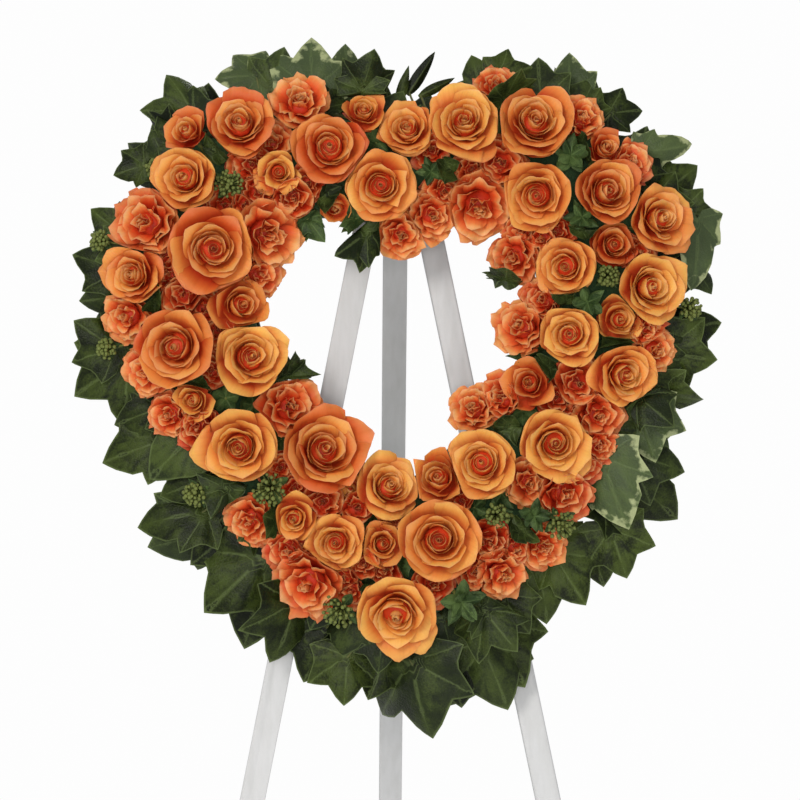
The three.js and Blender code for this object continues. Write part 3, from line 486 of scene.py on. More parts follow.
# Whorls from the heart outwards: petals, points across and along, then each value of the first and
# of the last petal
WHORL_VALUES = ("belly", "lean", "curl", "power", "length", "half", "wrap", "tuck", "corner", "roll",
                "ruffle")
ROSE_WHORLS = (
    (19, (7, 6), (0.03, 0.43), (-2, 1), (-4, 16), (3, 3), (0.86, 1.04), (0.12, 0.46), (1.0, 1.0),
     (0.16, 0.12), (0.06, 0.12), (0, 0.15), (0, 0.014)),
    (7, (13, 7), (0.44, 0.47), (-1, 12), (36, 76), (6, 6), (1.08, 1.13), (0.5, 0.62), (0.85, 0.65),
     (0.07, 0.05), (0.15, 0.22), (0.3, 0.6), (0.02, 0.035)),
    (6, (13, 7), (0.45, 0.34), (17, 38), (92, 118), (4.6, 4.4), (1.18, 1.13), (0.62, 0.72), (0.5, 0.4),
     (0.03, 0.03), (0.22, 0.3), (0.7, 1.0), (0.045, 0.06)),
)
SPRAY_WHORLS = (
    (13, (7, 6), (0.03, 0.38), (-2, 0), (-5, 10), (3, 3), (0.88, 1.02), (0.12, 0.44), (1.0, 1.0),
     (0.15, 0.11), (0.06, 0.16), (0, 0.1), (0, 0.015)),
    (4, (7, 6), (0.38, 0.42), (-2, 6), (22, 50), (5, 5), (1.05, 1.08), (0.48, 0.58), (0.85, 0.7),
     (0.06, 0.05), (0.2, 0.26), (0.2, 0.4), (0.02, 0.03)),
    (4, (7, 6), (0.4, 0.36), (14, 30), (70, 96), (5, 5), (1.08, 1.06), (0.58, 0.66), (0.5, 0.45),
     (0.03, 0.03), (0.26, 0.3), (0.4, 0.6), (0.04, 0.05)),
)
BUD_WHORLS = (
    (7, (7, 6), (0.04, 0.34), (-3, -4), (-16, -8), (2, 2), (0.98, 1.02), (0.14, 0.42), (1.0, 1.0),
     (0.12, 0.1), (0.1, 0.2), (0, 0), (0, 0.01)),
    (3, (7, 6), (0.4, 0.44), (-4, 2), (8, 30), (4, 4), (1.0, 0.96), (0.5, 0.58), (0.85, 0.75),
     (0.06, 0.05), (0.24, 0.3), (0.1, 0.3), (0.02, 0.03)),
)
CARNATION_WHORLS = (
    (10, (9, 5), (0.03, 0.2), (-4, 12), (-8, 46), (1.8, 2.2), (0.94, 1.04), (0.22, 0.46), (0.9, 0.6),
     (0.05, 0.05), (0.1, 0.14), (0, 0), (0.05, 0.11)),
    (9, (9, 5), (0.24, 0.3), (16, 34), (58, 84), (2.4, 2.8), (1.06, 1.12), (0.46, 0.54), (0.5, 0.4),
     (0.04, 0.04), (0.12, 0.16), (0, 0.2), (0.12, 0.14)),
    (7, (9, 5), (0.3, 0.26), (38, 56), (88, 108), (2.8, 2.8), (1.1, 1.1), (0.54, 0.6), (0.4, 0.35),
     (0.03, 0.03), (0.14, 0.2), (0.2, 0.3), (0.12, 0.12)),
)
FAN = dict(rose=0.4, small_rose=0.4, carnation=0.12)
WIDEN = dict(rose=1.0, small_rose=1.05, carnation=1.14)
PETAL_THICKNESS = 0.35
# The share of a head's points that lie within its width, and its height over the tables' own
WITHIN_WIDTH, RISE = 0.985, 1.03

# Packed middles under the petals, as shares of the head's height and radius
CORES = {
    "rose": ((0.25, 0.3), (0.5, 0.36), (0.62, 0.3), (0.68, 0.18), (0.71, 0.08), (0.72, 0.02)),
    "carnation": ((0.15, 0.3), (0.32, 0.48), (0.44, 0.4), (0.53, 0.25), (0.58, 0.08)),
}


def petal_sheets(rng, first, whorl, fan, opening):
    """Petals of one whorl as sheets round the axis, each a golden angle on from the last. A petal first
    runs out by its belly, then follows the running sum of a slope that turns from its lean at the foot to
    its curl at the rim. Across, it bends round the axis by its wrap, spirals out by its tuck and rolls
    back at the sides; its rim falls to the corners and waves by its ruffle."""
    count, (nu, nv), *ends = whorl
    k = np.arange(count)
    share = k / max(1, count - 1)
    value = {name: mix(start, end, share) for name, (start, end) in zip(WHORL_VALUES, ends)}
    jitter = rng.normal(0, 1, (8, count))
    value["lean"] = np.radians(value["lean"] * opening + 4.5 * jitter[1] * share)
    value["curl"] = np.radians(value["curl"] * opening + 12.0 * jitter[2] * (0.3 + share))
    value["length"] = value["length"] * (1 + 0.05 * jitter[3])
    value["corner"] = value["corner"] * (1 + 0.4 * jitter[4])
    belly, lean, curl, power, length, half, wrap, tuck, corner, roll, ruffle = (
        value[name].reshape(-1, 1, 1) for name in WHORL_VALUES)
    azimuth = ((first + k) * GOLDEN_ANGLE + 0.2 * jitter[0]).reshape(-1, 1, 1)
    phase, second = (3 * jitter[5]).reshape(-1, 1, 1), (3 * jitter[6]).reshape(-1, 1, 1)
    u = np.linspace(-1, 1, nu)[None, :, None]
    v = np.linspace(0, 1, nv)[None, None, :] ** 0.85
    s = v * (1 - corner * np.abs(u) ** 2.6 + 0.06 * np.exp(-(u / 0.25) ** 2))
    slope = lean + (curl - lean) * np.clip(s, 0, 1.06) ** power + roll * u ** 2 * s ** 4
    step = np.diff(s, axis=2, prepend=0) * length
    halfway = 0.5 * (slope + np.concatenate([slope[:, :, :1], slope[:, :, :-1]], axis=2))
    bellied = belly * (1 - np.exp(-(s * length / belly) ** 1.5))
    out = 0.03 + 0.95 * bellied + np.cumsum(np.sin(halfway) * step, axis=2)
    up = np.cumsum(np.cos(halfway) * step, axis=2) - 0.55 * bellied
    waves = ruffle * s ** 2 * (np.sin(1.5 * math.pi * u + phase) + 0.4 * np.sin(4.1 * math.pi * u + second))
    out, up = out - waves * np.cos(slope), up + waves * np.sin(slope)
    width = half * (fan + (1 - fan) * np.sin(0.5 * math.pi * np.clip(s / 0.62, 0, 1)))
    bend = wrap / np.maximum(out, 0.05)
    turn = np.clip(u * width * bend, -2.6, 2.6)
    out = out * (1 + tuck * u)
    radial = out - (1 - np.cos(turn)) / bend
    aside = np.sin(turn) / bend
    x = radial * np.cos(azimuth) - aside * np.sin(azimuth)
    y = radial * np.sin(azimuth) + aside * np.cos(azimuth)
    flat = np.stack([0.5 + 0.5 * u + 0 * s, s], axis=-1)
    return np.stack([x, y, up + 0 * x], axis=-1), flat


def add_bloom(surface, head, others, rng, spread, tints=(0.25, 1.0)):
    """A rose, spray rose or carnation with its petals pressed against its neighbours'."""
    kind = head["kind"]
    whorls = {"rose": ROSE_WHORLS, "carnation": CARNATION_WHORLS}.get(kind, SPRAY_WHORLS)
    if kind == "small_rose" and head["radius"] < 13:
        whorls = BUD_WHORLS
    opening = rng.uniform(0.8, 1.08)
    first = np.cumsum([0] + [whorl[0] for whorl in whorls])
    grown = [petal_sheets(rng, k, whorl, FAN[kind], opening) for k, whorl in zip(first, whorls)]
    points = np.concatenate([sheets.reshape(-1, 3) for sheets, _ in grown])
    reach = np.quantile(np.linalg.norm(points[:, :2], axis=1), WITHIN_WIDTH)
    across = WIDEN[kind] * spread * head["radius"] / reach
    up = RISE * head["height"] / points[:, 2].max()
    tint = rng.uniform(*tints)
    ruffled = 1.0 if kind == "carnation" else 0.0
    core = CORES.get(kind, CORES["rose"])
    # Painted shade: the core takes mostly the petals' deep foot colour, and a tint of 0.4 darkens it, for
    # the depth of the heart.
    add_lathe(surface, [(share * head["height"], wide * head["radius"]) for share, wide in core],
              head["root"], head["axis"], 10, tone=(0, 0.4, ruffled), flat=(0.5, 0.45))
    for k, (count, *_), (sheets, flat) in zip(first, whorls, grown):
        placed = press(in_head(sheets, head, across, up), head, others, PETAL_ROOM)
        outwards = (k + np.arange(count) + 0.5) / first[-1]
        tints = np.clip(tint + rng.normal(0, 0.15, count), 0, 1)
        add_shells(surface, placed, PETAL_THICKNESS, flat, np.c_[outwards, tints, np.full(count, ruffled)])


# Leaves

# Outlines of half a leaf: degrees off the middle rib, share of the rib's length
LOBED = np.array([(0, 1.0), (5, 0.93), (12, 0.85), (20, 0.76), (28, 0.70), (36, 0.71), (43, 0.78),
                  (50, 0.86), (54, 0.81), (63, 0.70), (74, 0.61), (84, 0.60), (94, 0.64), (102, 0.69),
                  (108, 0.62), (126, 0.45), (148, 0.24)])
ROUNDED = np.array([(0, 1.0), (6, 0.95), (14, 0.86), (24, 0.76), (36, 0.67), (48, 0.61), (62, 0.56),
                    (76, 0.52), (90, 0.49), (104, 0.46), (118, 0.42), (132, 0.34), (147, 0.2)])
IVY_VEINS = (0.0, 0.87, 1.78)
LEAF_RINGS = np.array([0, 0.25, 0.5, 0.72, 0.89, 1.0])
LEAF_THICKNESS, FROND_THICKNESS = 0.55, 0.5
NARROW_LEAVES = dict(lance=0.13, oval=0.24)
FORWARDS = np.array([0, -1.0, 0])


def between_veins(angle):
    """A count along the veins' angles: whole on a vein and half way between two."""
    return np.interp(angle, (*IVY_VEINS, math.pi), range(len(IVY_VEINS) + 1))


FOLDED = LOBED * (1, 0.62) + np.c_[0 * LOBED[:, 0], 0.38 * np.exp(-(LOBED[:, 0] / 26) ** 2)]
LEAF_OUTLINES = dict(ivy=LOBED, folded=FOLDED, heart=ROUNDED)


def lobed_leaf(table, rng):
    """A leaf as rays from its stalk: each ray ends at the outline's radius for its angle. The blade is
    folded down from the middle rib, swells between the veins by the sine of the place between two, waves
    round its rim by two sines of the angle, and is drawn down to its tips by the cube of the radius."""
    half_angle, half_radius = np.radians(table[:, 0]), table[:, 1]
    side = 1 + 0.1 * rng.normal(0, 1, 2)
    angle = np.concatenate([-half_angle[:0:-1], half_angle])
    left, right = (half_radius * np.where(half_angle > 0.5, wider, 1) for wider in side)
    radius = np.concatenate([left[:0:-1], right])
    rho = LEAF_RINGS[None] * radius[:, None]
    x, y = rho * np.sin(angle)[:, None], rho * np.cos(angle)[:, None]
    fold, droop = rng.uniform(0.02, 0.4), rng.uniform(-0.05, 0.34)
    bulge = 0.075 * rho * np.abs(np.sin(math.pi * between_veins(np.abs(angle))))[:, None]
    wave = 0.075 * np.sin(3.4 * angle[:, None] + rng.uniform(0, 6)) * rho ** 1.5
    wave = wave + 0.03 * np.sin(9 * angle[:, None] + rng.uniform(0, 6)) * rho ** 2
    z = -fold * np.abs(x) - droop * y * np.abs(y) + bulge + wave - 0.12 * rho ** 3
    flat = np.stack([angle[:, None] / TURN + 0.5 + 0 * rho, LEAF_RINGS[None] + 0 * rho], axis=-1)
    return np.stack([x, y, z], axis=-1), flat


def long_leaf(width, rng, grid=(7, 9)):
    """A narrow leaf: its half width follows a sine along the rib, and it arches and folds along the rib."""
    u = np.linspace(-1, 1, grid[0])[:, None]
    v = np.linspace(0, 1, grid[1])[None]
    half = width * np.sin(math.pi * np.clip(v, 0.02, 0.995) ** 0.75) ** 0.8
    x, y = u * half, v + 0 * u
    z = -0.35 * np.abs(x) - rng.uniform(0.05, 0.25) * v ** 2 + 0.02 * np.sin(9 * v) * u
    flat = np.stack([0.5 + 0.12 * u + 0 * v, v + 0 * u], axis=-1)
    return np.stack([x, y, z], axis=-1), flat


def leaf_at(shape, start, tip, facing, roll):
    """A unit leaf (stalk at zero, tip along +y, face +z) laid from stalk to tip, rolled about its rib."""
    along = tip - start
    length = np.linalg.norm(along)
    along = along / length
    facing = unit(facing - along * np.dot(facing, along))
    across = np.cross(along, facing)
    facing, across = (facing * math.cos(roll) + across * math.sin(roll),
                      across * math.cos(roll) - facing * math.sin(roll))
    return start + length * (shape[..., :1] * across + shape[..., 1:2] * along + shape[..., 2:] * facing)


def add_leaf(surface, kind, start, tip, rise, roll, cream, rng, cell=None, light=1.0):
    """A leaf of a kind from its stalk to its tip, facing the front, or pressed into a head's cell."""
    start, tip = np.asarray(start, float), np.asarray(tip, float)
    lobed = kind in LEAF_OUTLINES
    shape, flat = lobed_leaf(LEAF_OUTLINES[kind], rng) if lobed else long_leaf(NARROW_LEAVES[kind], rng)
    along = tip - start
    facing = FORWARDS + along * rise / np.sum(along ** 2)
    placed = leaf_at(shape, start, tip, facing, roll)
    if cell:
        placed = press(placed, *cell, LEAF_ROOM)
    # A low light caps the tone: painted shade for leaves set back behind the others.
    tone = np.array([light * rng.uniform(0, 1) ** 1.3, cream, 0.0])
    # A leaf's rays run from left to right seen from the front, so the sheet is turned round
    add_shells(surface, placed[None, ::-1], LEAF_THICKNESS, flat[None, ::-1], tone, pole=lobed)


def add_frond(surface, leaf, head, start, tip, roll, tone, others=()):
    """A narrow leaf round a head, facing along the head's axis and pressed by the neighbours' planes."""
    shape, flat = leaf
    placed = press(leaf_at(shape, start, tip, head["axis"], roll), head, others, FROND_ROOM)
    add_shells(surface, placed[None, ::-1], FROND_THICKNESS, flat[None, ::-1], tone)


def off_foam(points):
    """How far the nearest of the points stays outside the heart of foam, seen from the front."""
    return distance_outside(CAD_OUTER, points[..., [0, 2]].reshape(-1, 2)).min()


def add_trail(surface, leaves, rng, extra):
    """A vine along the foam's edge, its stalks and leaves, and smaller leaves between and behind them."""
    count = len(CAD_OUTER)
    places = []
    for _, x, z, *_ in leaves:
        place = nearest_on(CAD_OUTER, (x, z))[2][0]
        places.append(place - count if place > 0.8 * count and leaves[0][1] < 0 else place)
    start, end = min(places) - 0.12, max(places) + 0.05
    line = [edge_point(start, off, VINE_FORWARD) for off in VINE_ENTRY]
    line += [edge_point(at, VINE_OFF_FOAM, VINE_FORWARD) for at in np.linspace(start, end, VINE_POINTS)]
    add_tube(surface, line, VINE_RADIUS, 7)
    for (kind, x, z, x1, z1, forward, rise, cream), place in zip(leaves, places):
        base, tip = np.array([x, -forward, z], float), np.array([x1, -forward - rise, z1], float)
        out = edge_point(place, 1, forward) - edge_point(place, 0, forward)
        shape = lobed_leaf(LEAF_OUTLINES.get(kind, LOBED), np.random.default_rng(1))[0]
        for _ in range(MOST_STEPS_OUT):
            if forward >= FOAM_FRONT or off_foam(leaf_at(shape, base, tip, FORWARDS, 0)) >= LEAF_OFF_FOAM:
                break
            base = base + out
        add_leaf(surface, kind, base, tip, rise, rng.normal(0, 0.3), cream, rng)
        seat = edge_point(place, VINE_OFF_FOAM, VINE_FORWARD)
        inner = base + 0.06 * (tip - base)
        bow = np.array([0, -2.0, 0])
        steps = np.linspace(0, 1, 6)[:, None]
        add_tube(surface, seat + (inner - seat) * steps + bow * np.sin(math.pi * steps), STALK_RADIUS, 6)
    for k in range(extra):
        place = mix(start, end, (k + rng.uniform(0.2, 0.8)) / extra)
        forward = EXTRA_FORWARD[k % len(EXTRA_FORWARD)] + rng.uniform(-1, 1)
        base = edge_point(place, 5, forward)
        out = unit(edge_point(place, 2, 0) - edge_point(place, 0, 0))
        swing = rng.normal(0, 0.5)
        direction = np.array([out[0] * math.cos(swing) - out[2] * math.sin(swing), 0,
                              out[0] * math.sin(swing) + out[2] * math.cos(swing)])
        length = rng.uniform(30, 44)
        tip = base + direction * length + np.array([0, rng.uniform(-3, 5), 0])
        # Extra leaves set back near the foam get a low light: painted shade behind the leaves in front.
        add_leaf(surface, "ivy", base, tip, 0, rng.normal(0, 0.35), max(0, rng.normal(0.05, 0.1)), rng,
                 light=0.3 if forward < 30 else 0.8)
        seat = edge_point(place, VINE_OFF_FOAM - 2, VINE_FORWARD)
        add_tube(surface, [seat, (seat + base) / 2 + (0, -1, 0), base + 0.06 * (tip - base)], 0.8, 5)


# Rings of foam and tray

def add_heart_ring(surface, corners, steps):
    """A closed section carried round the heart. Each corner is (1 outer or 0 inner, outside, forward)."""
    outer = heart_outline(**OUTER_HEART, steps=steps)
    inner = heart_outline(**INNER_HEART, steps=steps)
    rings = []
    for side, outside, forward in corners:
        outline = offset_outline(outer if side else inner, outside)
        rings.append(np.stack([outline[:, 0], np.full(len(outline), -forward), outline[:, 1]], axis=1))
    points = np.stack(rings)
    index = np.arange(points.shape[0] * points.shape[1]).reshape(points.shape[:2])
    index = np.c_[index, index[:, :1]]
    index = np.concatenate([index, index[:1]])
    surface.add(points, grid_faces(index, flip=True))


# Materials

def new_material(name, roughness=0.5, metallic=0.0):
    material = bpy.data.materials.new(name)
    material.use_nodes = True
    shader = material.node_tree.nodes["Principled BSDF"]
    shader.inputs["Roughness"].default_value = roughness
    shader.inputs["Metallic"].default_value = metallic
    return material, material.node_tree, shader


def add_node(tree, kind, inputs=None, **settings):
    node = tree.nodes.new(kind)
    for name, value in settings.items():
        setattr(node, name, value)
    for name, value in (inputs or {}).items():
        if isinstance(value, bpy.types.NodeSocket):
            tree.links.new(value, node.inputs[name])
        else:
            node.inputs[name].default_value = value
    return node


def ramp(tree, factor, stops):
    """A colour for each place of the factor, where a single number stands for a grey."""
    node = add_node(tree, "ShaderNodeValToRGB", {"Fac": factor})
    while len(node.color_ramp.elements) < len(stops):
        node.color_ramp.elements.new(0.5)
    for element, (place, colour) in zip(node.color_ramp.elements, stops):
        element.position = place
        element.color = (colour, colour, colour, 1) if isinstance(colour, (int, float)) else (*colour, 1)
    return node.outputs["Color"]


def math_node(tree, operation, a, b=0.0, clamp=False):
    node = tree.nodes.new("ShaderNodeMath")
    node.operation, node.use_clamp = operation, clamp
    for socket, value in zip(node.inputs, (a, b)):
        if isinstance(value, bpy.types.NodeSocket):
            tree.links.new(value, socket)
        else:
            socket.default_value = value
    return node.outputs[0]


def times(tree, a, b, clamp=False):
    return math_node(tree, "MULTIPLY", a, b, clamp)


def plus(tree, a, b):
    return math_node(tree, "ADD", a, b)


def minus(tree, a, b, clamp=False):
    return math_node(tree, "SUBTRACT", a, b, clamp)


def mix_colour(tree, factor, a, b, blend="MIX"):
    node = tree.nodes.new("ShaderNodeMix")
    node.data_type, node.blend_type = "RGBA", blend
    for socket, value in zip((node.inputs[0], node.inputs[6], node.inputs[7]), (factor, a, b)):
        if isinstance(value, bpy.types.NodeSocket):
            tree.links.new(value, socket)
        elif isinstance(value, (int, float)):
            socket.default_value = value
        else:
            socket.default_value = (*value, 1)
    return node.outputs[2]


def noise(tree, place, scale, detail):
    settings = {"Vector": place, "Scale": scale, "Detail": detail}
    return add_node(tree, "ShaderNodeTexNoise", settings).outputs["Fac"]


def own_place(tree):
    return add_node(tree, "ShaderNodeTexCoord").outputs["Object"]


def stretched(tree, place, scale):
    return add_node(tree, "ShaderNodeMapping", {"Vector": place, "Scale": scale}).outputs[0]


def finish_skin(tree, shader, colour, normal, mask=None, uneven=0.0, least=0.0):
    """Links the colour and the normal, and the roughness where the mask makes it uneven."""
    tree.links.new(colour, shader.inputs["Base Color"])
    tree.links.new(normal, shader.inputs["Normal"])
    if mask is not None:
        tree.links.new(plus(tree, times(tree, mask, uneven), least), shader.inputs["Roughness"])


def raised(tree, height, strength, distance, normal):
    settings = {"Strength": strength, "Distance": distance, "Height": height, "Normal": normal}
    return add_node(tree, "ShaderNodeBump", settings).outputs["Normal"]


def mottle_group():
    """Uneven colour shared by petals, leaves, foam and paint: a soft and a fine noise on the piece's own
    place, mixed into one mask, and the same mask as a bumped normal."""
    group = bpy.data.node_groups.get("mottle") or bpy.data.node_groups.new("mottle", "ShaderNodeTree")
    if group.nodes:
        return group
    face = group.interface
    for name, default in (("Soft scale", 30.0), ("Fine scale", 300.0), ("Fine share", 0.4), ("Bump", 0.2),
                          ("Depth", 0.0005)):
        face.new_socket(name, in_out="INPUT", socket_type="NodeSocketFloat").default_value = default
    face.new_socket("Mask", in_out="OUTPUT", socket_type="NodeSocketFloat")
    face.new_socket("Normal", in_out="OUTPUT", socket_type="NodeSocketVector")
    start = group.nodes.new("NodeGroupInput")
    end = group.nodes.new("NodeGroupOutput")
    place = own_place(group)
    blend = group.nodes.new("ShaderNodeMix")
    group.links.new(start.outputs["Fine share"], blend.inputs[0])
    group.links.new(noise(group, place, start.outputs["Soft scale"], 3.0), blend.inputs[2])
    group.links.new(noise(group, place, start.outputs["Fine scale"], 4.0), blend.inputs[3])
    bump = {"Strength": start.outputs["Bump"], "Distance": start.outputs["Depth"],
            "Height": blend.outputs[0]}
    group.links.new(blend.outputs[0], end.inputs["Mask"])
    group.links.new(add_node(group, "ShaderNodeBump", bump).outputs["Normal"], end.inputs["Normal"])
    return group


def mottle(tree, soft, fine, share, bump, depth):
    node = tree.nodes.new("ShaderNodeGroup")
    node.node_tree = mottle_group()
    for name, value in (("Soft scale", soft), ("Fine scale", fine), ("Fine share", share), ("Bump", bump),
                        ("Depth", depth)):
        node.inputs[name].default_value = value
    return node.outputs["Mask"], node.outputs["Normal"]


def tone_parts(tree):
    """The three shares of a piece's own point colour."""
    tone = add_node(tree, "ShaderNodeAttribute", attribute_name="tone").outputs["Color"]
    return add_node(tree, "ShaderNodeSeparateColor", {"Color": tone}).outputs


def flat_parts(tree):
    """The place in a petal's or leaf's flat pattern, and its two parts: across (or angle) and along."""
    flat = add_node(tree, "ShaderNodeUVMap", uv_map="Flat").outputs["UV"]
    place = add_node(tree, "ShaderNodeSeparateXYZ", {"Vector": flat})
    return flat, place.outputs["X"], place.outputs["Y"]


CREAM, GREY_GREEN = (0.38, 0.42, 0.21), (0.115, 0.16, 0.07)


def petal_material(settings):
    """Petals: apricot at the open petals' faces, deeper orange at the foot and in the carnations, partly
    their own colour and partly painted shade deep in the blooms, with faint streaks along each petal.
    The rims are flushed on the outer petals, and pale in the heart, a painted highlight where light catches
    them."""
    material, tree, shader = new_material("petals", roughness=0.55)
    whorl, tint, ruffled = tone_parts(tree)
    flat, _, along = flat_parts(tree)
    rose = ramp(tree, whorl, [(0.0, settings.heart_colour), (0.45, settings.middle_colour),
                              (1.0, settings.open_colour)])
    # Painted shade in part: low in each petal the colour turns to the feet's deeper red, partly the petals'
    # own colour and partly the shade deep in the bloom.
    foot = ramp(tree, along, [(0.0, 0.95), (0.55, 0.85), (0.8, 0.36), (0.96, 0)])
    rose = mix_colour(tree, foot, rose, settings.foot_colour_and_shade)
    # The carnations' low colour is partly their own deeper red and partly painted shade deep in the heads.
    ruffle = ramp(tree, along, [(0.3, settings.ruffle_deep_and_shade), (0.68, settings.ruffle_colour),
                                (0.95, settings.ruffle_rim)])
    colour = mix_colour(tree, ruffled, rose, ruffle)
    # The tint darkens each petal: random tone among the blooms, and painted shade for the gap fillers,
    # which get the lowest tints.
    shade = ramp(tree, tint, [(0.0, (0.72, 0.27, 0.22)), (0.5, (0.98, 0.85, 0.80)),
                              (1.0, (1.0, 1.06, 1.04))])
    colour = mix_colour(tree, 1.0, colour, shade, "MULTIPLY")
    streaks = noise(tree, stretched(tree, flat, (26, 2.2, 1)), 1.0, 3.0)
    faint = ramp(tree, streaks, [(0.3, (0.93, 0.90, 0.89)), (0.65, 1)])
    colour = mix_colour(tree, 1.0, colour, faint, "MULTIPLY")
    rim = ramp(tree, along, [(0.78, 0), (1.0, 0.7)])
    flushed = times(tree, rim, ramp(tree, whorl, [(0.5, 0.1), (0.95, 1)]))
    flushed = times(tree, flushed, ramp(tree, tint, [(0.3, 1), (0.9, 0.25)]))
    colour = mix_colour(tree, flushed, colour, settings.rim_colour)
    # Painted highlight: a pale line along the heart petals' rims, where light catches the rolled edges.
    lit = times(tree, ramp(tree, along, [(0.86, 0), (0.98, 0.6)]), ramp(tree, whorl, [(0.5, 1), (0.85, 0)]))
    colour = mix_colour(tree, lit, colour, settings.painted_rim_highlight)
    mask, normal = mottle(tree, 60, 900, 0.3, 0.12, 0.0006)
    colour = mix_colour(tree, times(tree, mask, 0.25), colour, settings.foot_colour_and_shade)
    finish_skin(tree, shader, colour, raised(tree, streaks, 0.18, 0.0006, normal), mask, 0.15, 0.45)
    shader.inputs["Subsurface Weight"].default_value = 0.25
    shader.inputs["Subsurface Radius"].default_value = (1.0, 0.35, 0.12)
    shader.inputs["Subsurface Scale"].default_value = 0.004
    shader.inputs["Specular IOR Level"].default_value = 0.2
    return material


def leaf_material(name, colours, veins, cream_rim, gloss):
    """Leaves: light along the veins and, as painted shade, dark half way between them, with fine streaks
    out along the rays and a thin pale rim, cream from a broken rim inwards by the leaf's own share, and a
    waxy gloss over fine grain. The colours are the dark and the light leaf, its hollows' painted shade
    (also used for random dark clouds), its veins and its stalk."""
    dark, light, hollow, vein, stalk_colour = colours
    material, tree, shader = new_material(name, roughness=gloss)
    tint, cream, stalk = tone_parts(tree)
    flat, angle, along = flat_parts(tree)
    mask, normal = mottle(tree, 55, 600, 0.3, 0.6, 0.004)
    green = mix_colour(tree, tint, dark, light)
    wander = times(tree, minus(tree, mask, 0.5), 0.35)
    turned = times(tree, minus(tree, angle, 0.5), TURN)
    turned = plus(tree, math_node(tree, "ABSOLUTE", turned), wander)
    lines, glow = 0.0, 0.0
    for at in veins:
        off_rib = math_node(tree, "ABSOLUTE", minus(tree, turned, at))
        off_rib = times(tree, off_rib, along)
        line = minus(tree, 1.0, times(tree, off_rib, 34.0), clamp=True)
        near = minus(tree, 1.0, times(tree, off_rib, 4.5), clamp=True)
        lines, glow = math_node(tree, "MAXIMUM", lines, line), math_node(tree, "MAXIMUM", glow, near)
    # Painted shade: streaks half way between the veins are drawn towards the hollow colour.
    streaks = noise(tree, stretched(tree, flat, (42, 3.0, 1)), 1.0, 2.0)
    sunk = ramp(tree, streaks, [(0.35, 0.75), (0.62, 0)])
    shade = times(tree, sunk, minus(tree, 1.0, glow))
    green = mix_colour(tree, shade, green, hollow)
    cloud = ramp(tree, mask, [(0.38, 0.8), (0.52, 0)])
    green = mix_colour(tree, cloud, green, hollow)
    bloom = ramp(tree, mask, [(0.52, 0), (0.64, 0.6)])
    green = mix_colour(tree, bloom, green, light)
    green = mix_colour(tree, times(tree, lines, 0.38), green, vein)
    edge = ramp(tree, along, [(0.955, 0), (0.985, 0.4)])
    green = mix_colour(tree, edge, green, vein)
    if cream_rim:
        ragged = times(tree, minus(tree, noise(tree, own_place(tree), 95.0, 4.0), 0.5), 0.9)
        start = minus(tree, 1.17, times(tree, cream, 0.36))
        over = minus(tree, plus(tree, along, ragged), start)
        over = times(tree, over, 9.0, clamp=True)
        shown = times(tree, over, times(tree, cream, 3.0, clamp=True))
        green = mix_colour(tree, times(tree, cream, 0.55), green, GREY_GREEN)
        green = mix_colour(tree, times(tree, shown, 0.85), green, CREAM)
    green = mix_colour(tree, stalk, green, stalk_colour)
    finish_skin(tree, shader, green, raised(tree, lines, 0.35, 0.0005, normal), mask, 0.2, gloss - 0.1)
    shader.inputs["Specular IOR Level"].default_value = 0.14
    return material


def paint_material():
    """White paint on planed wood: the grain shows through as long faint ridges, and the paint is a little
    uneven and dulled."""
    material, tree, shader = new_material("white_paint_film", roughness=0.42)
    grain = noise(tree, stretched(tree, own_place(tree), (160, 160, 5)), 1.0, 5.0)
    mask, normal = mottle(tree, 9, 700, 0.25, 0.06, 0.0004)
    colour = ramp(tree, mask, [(0.3, (0.53, 0.535, 0.54)), (0.62, (0.58, 0.58, 0.585))])
    lines = ramp(tree, grain, [(0.32, (0.93, 0.93, 0.92)), (0.6, 1)])
    colour = mix_colour(tree, 1.0, colour, lines, "MULTIPLY")
    finish_skin(tree, shader, colour, raised(tree, grain, 0.22, 0.0005, normal), mask, 0.25, 0.32)
    return material


def foam_material():
    """Floral foam: dark wet green with fine open cells that crumble under the thumb."""
    material, tree, shader = new_material("wet_foam", roughness=0.95)
    cells = add_node(tree, "ShaderNodeTexVoronoi", {"Vector": own_place(tree), "Scale": 900.0})
    mask, normal = mottle(tree, 25, 450, 0.5, 0.6, 0.002)
    colour = ramp(tree, mask, [(0.3, (0.016, 0.045, 0.017)), (0.7, (0.05, 0.11, 0.035))])
    finish_skin(tree, shader, colour, raised(tree, cells.outputs["Distance"], 0.7, 0.0008, normal))
    return material


def tray_material():
    """Moulded green plastic with a fine eggshell grain."""
    material, tree, shader = new_material("tray_shell", roughness=0.4)
    mask, normal = mottle(tree, 20, 1500, 0.6, 0.2, 0.0003)
    colour = ramp(tree, mask, [(0.3, (0.010, 0.032, 0.014)), (0.7, (0.016, 0.05, 0.022))])
    finish_skin(tree, shader, colour, normal, mask, 0.3, 0.25)
    return material


def steel_material():
    """Zinc-plated steel, faintly spangled and rubbed duller in places."""
    material, tree, shader = new_material("plated_steel", roughness=0.35, metallic=1.0)
    mask, normal = mottle(tree, 140, 900, 0.4, 0.1, 0.0002)
    colour = ramp(tree, mask, [(0.3, (0.50, 0.51, 0.53)), (0.7, (0.68, 0.69, 0.70))])
    finish_skin(tree, shader, colour, normal, mask, 0.35, 0.18)
    return material


def ivy_material(settings):
    # Dark and light ivy, the hollow colour (painted shade between the veins, and random dark clouds), the
    # veins and the stalks
    colours = (settings.ivy_colour, settings.ivy_light, (0.0025, 0.0045, 0.001), (0.15, 0.20, 0.065),
               (0.11, 0.12, 0.04))
    return leaf_material("ivy_wax", colours, IVY_VEINS, True, 0.36)


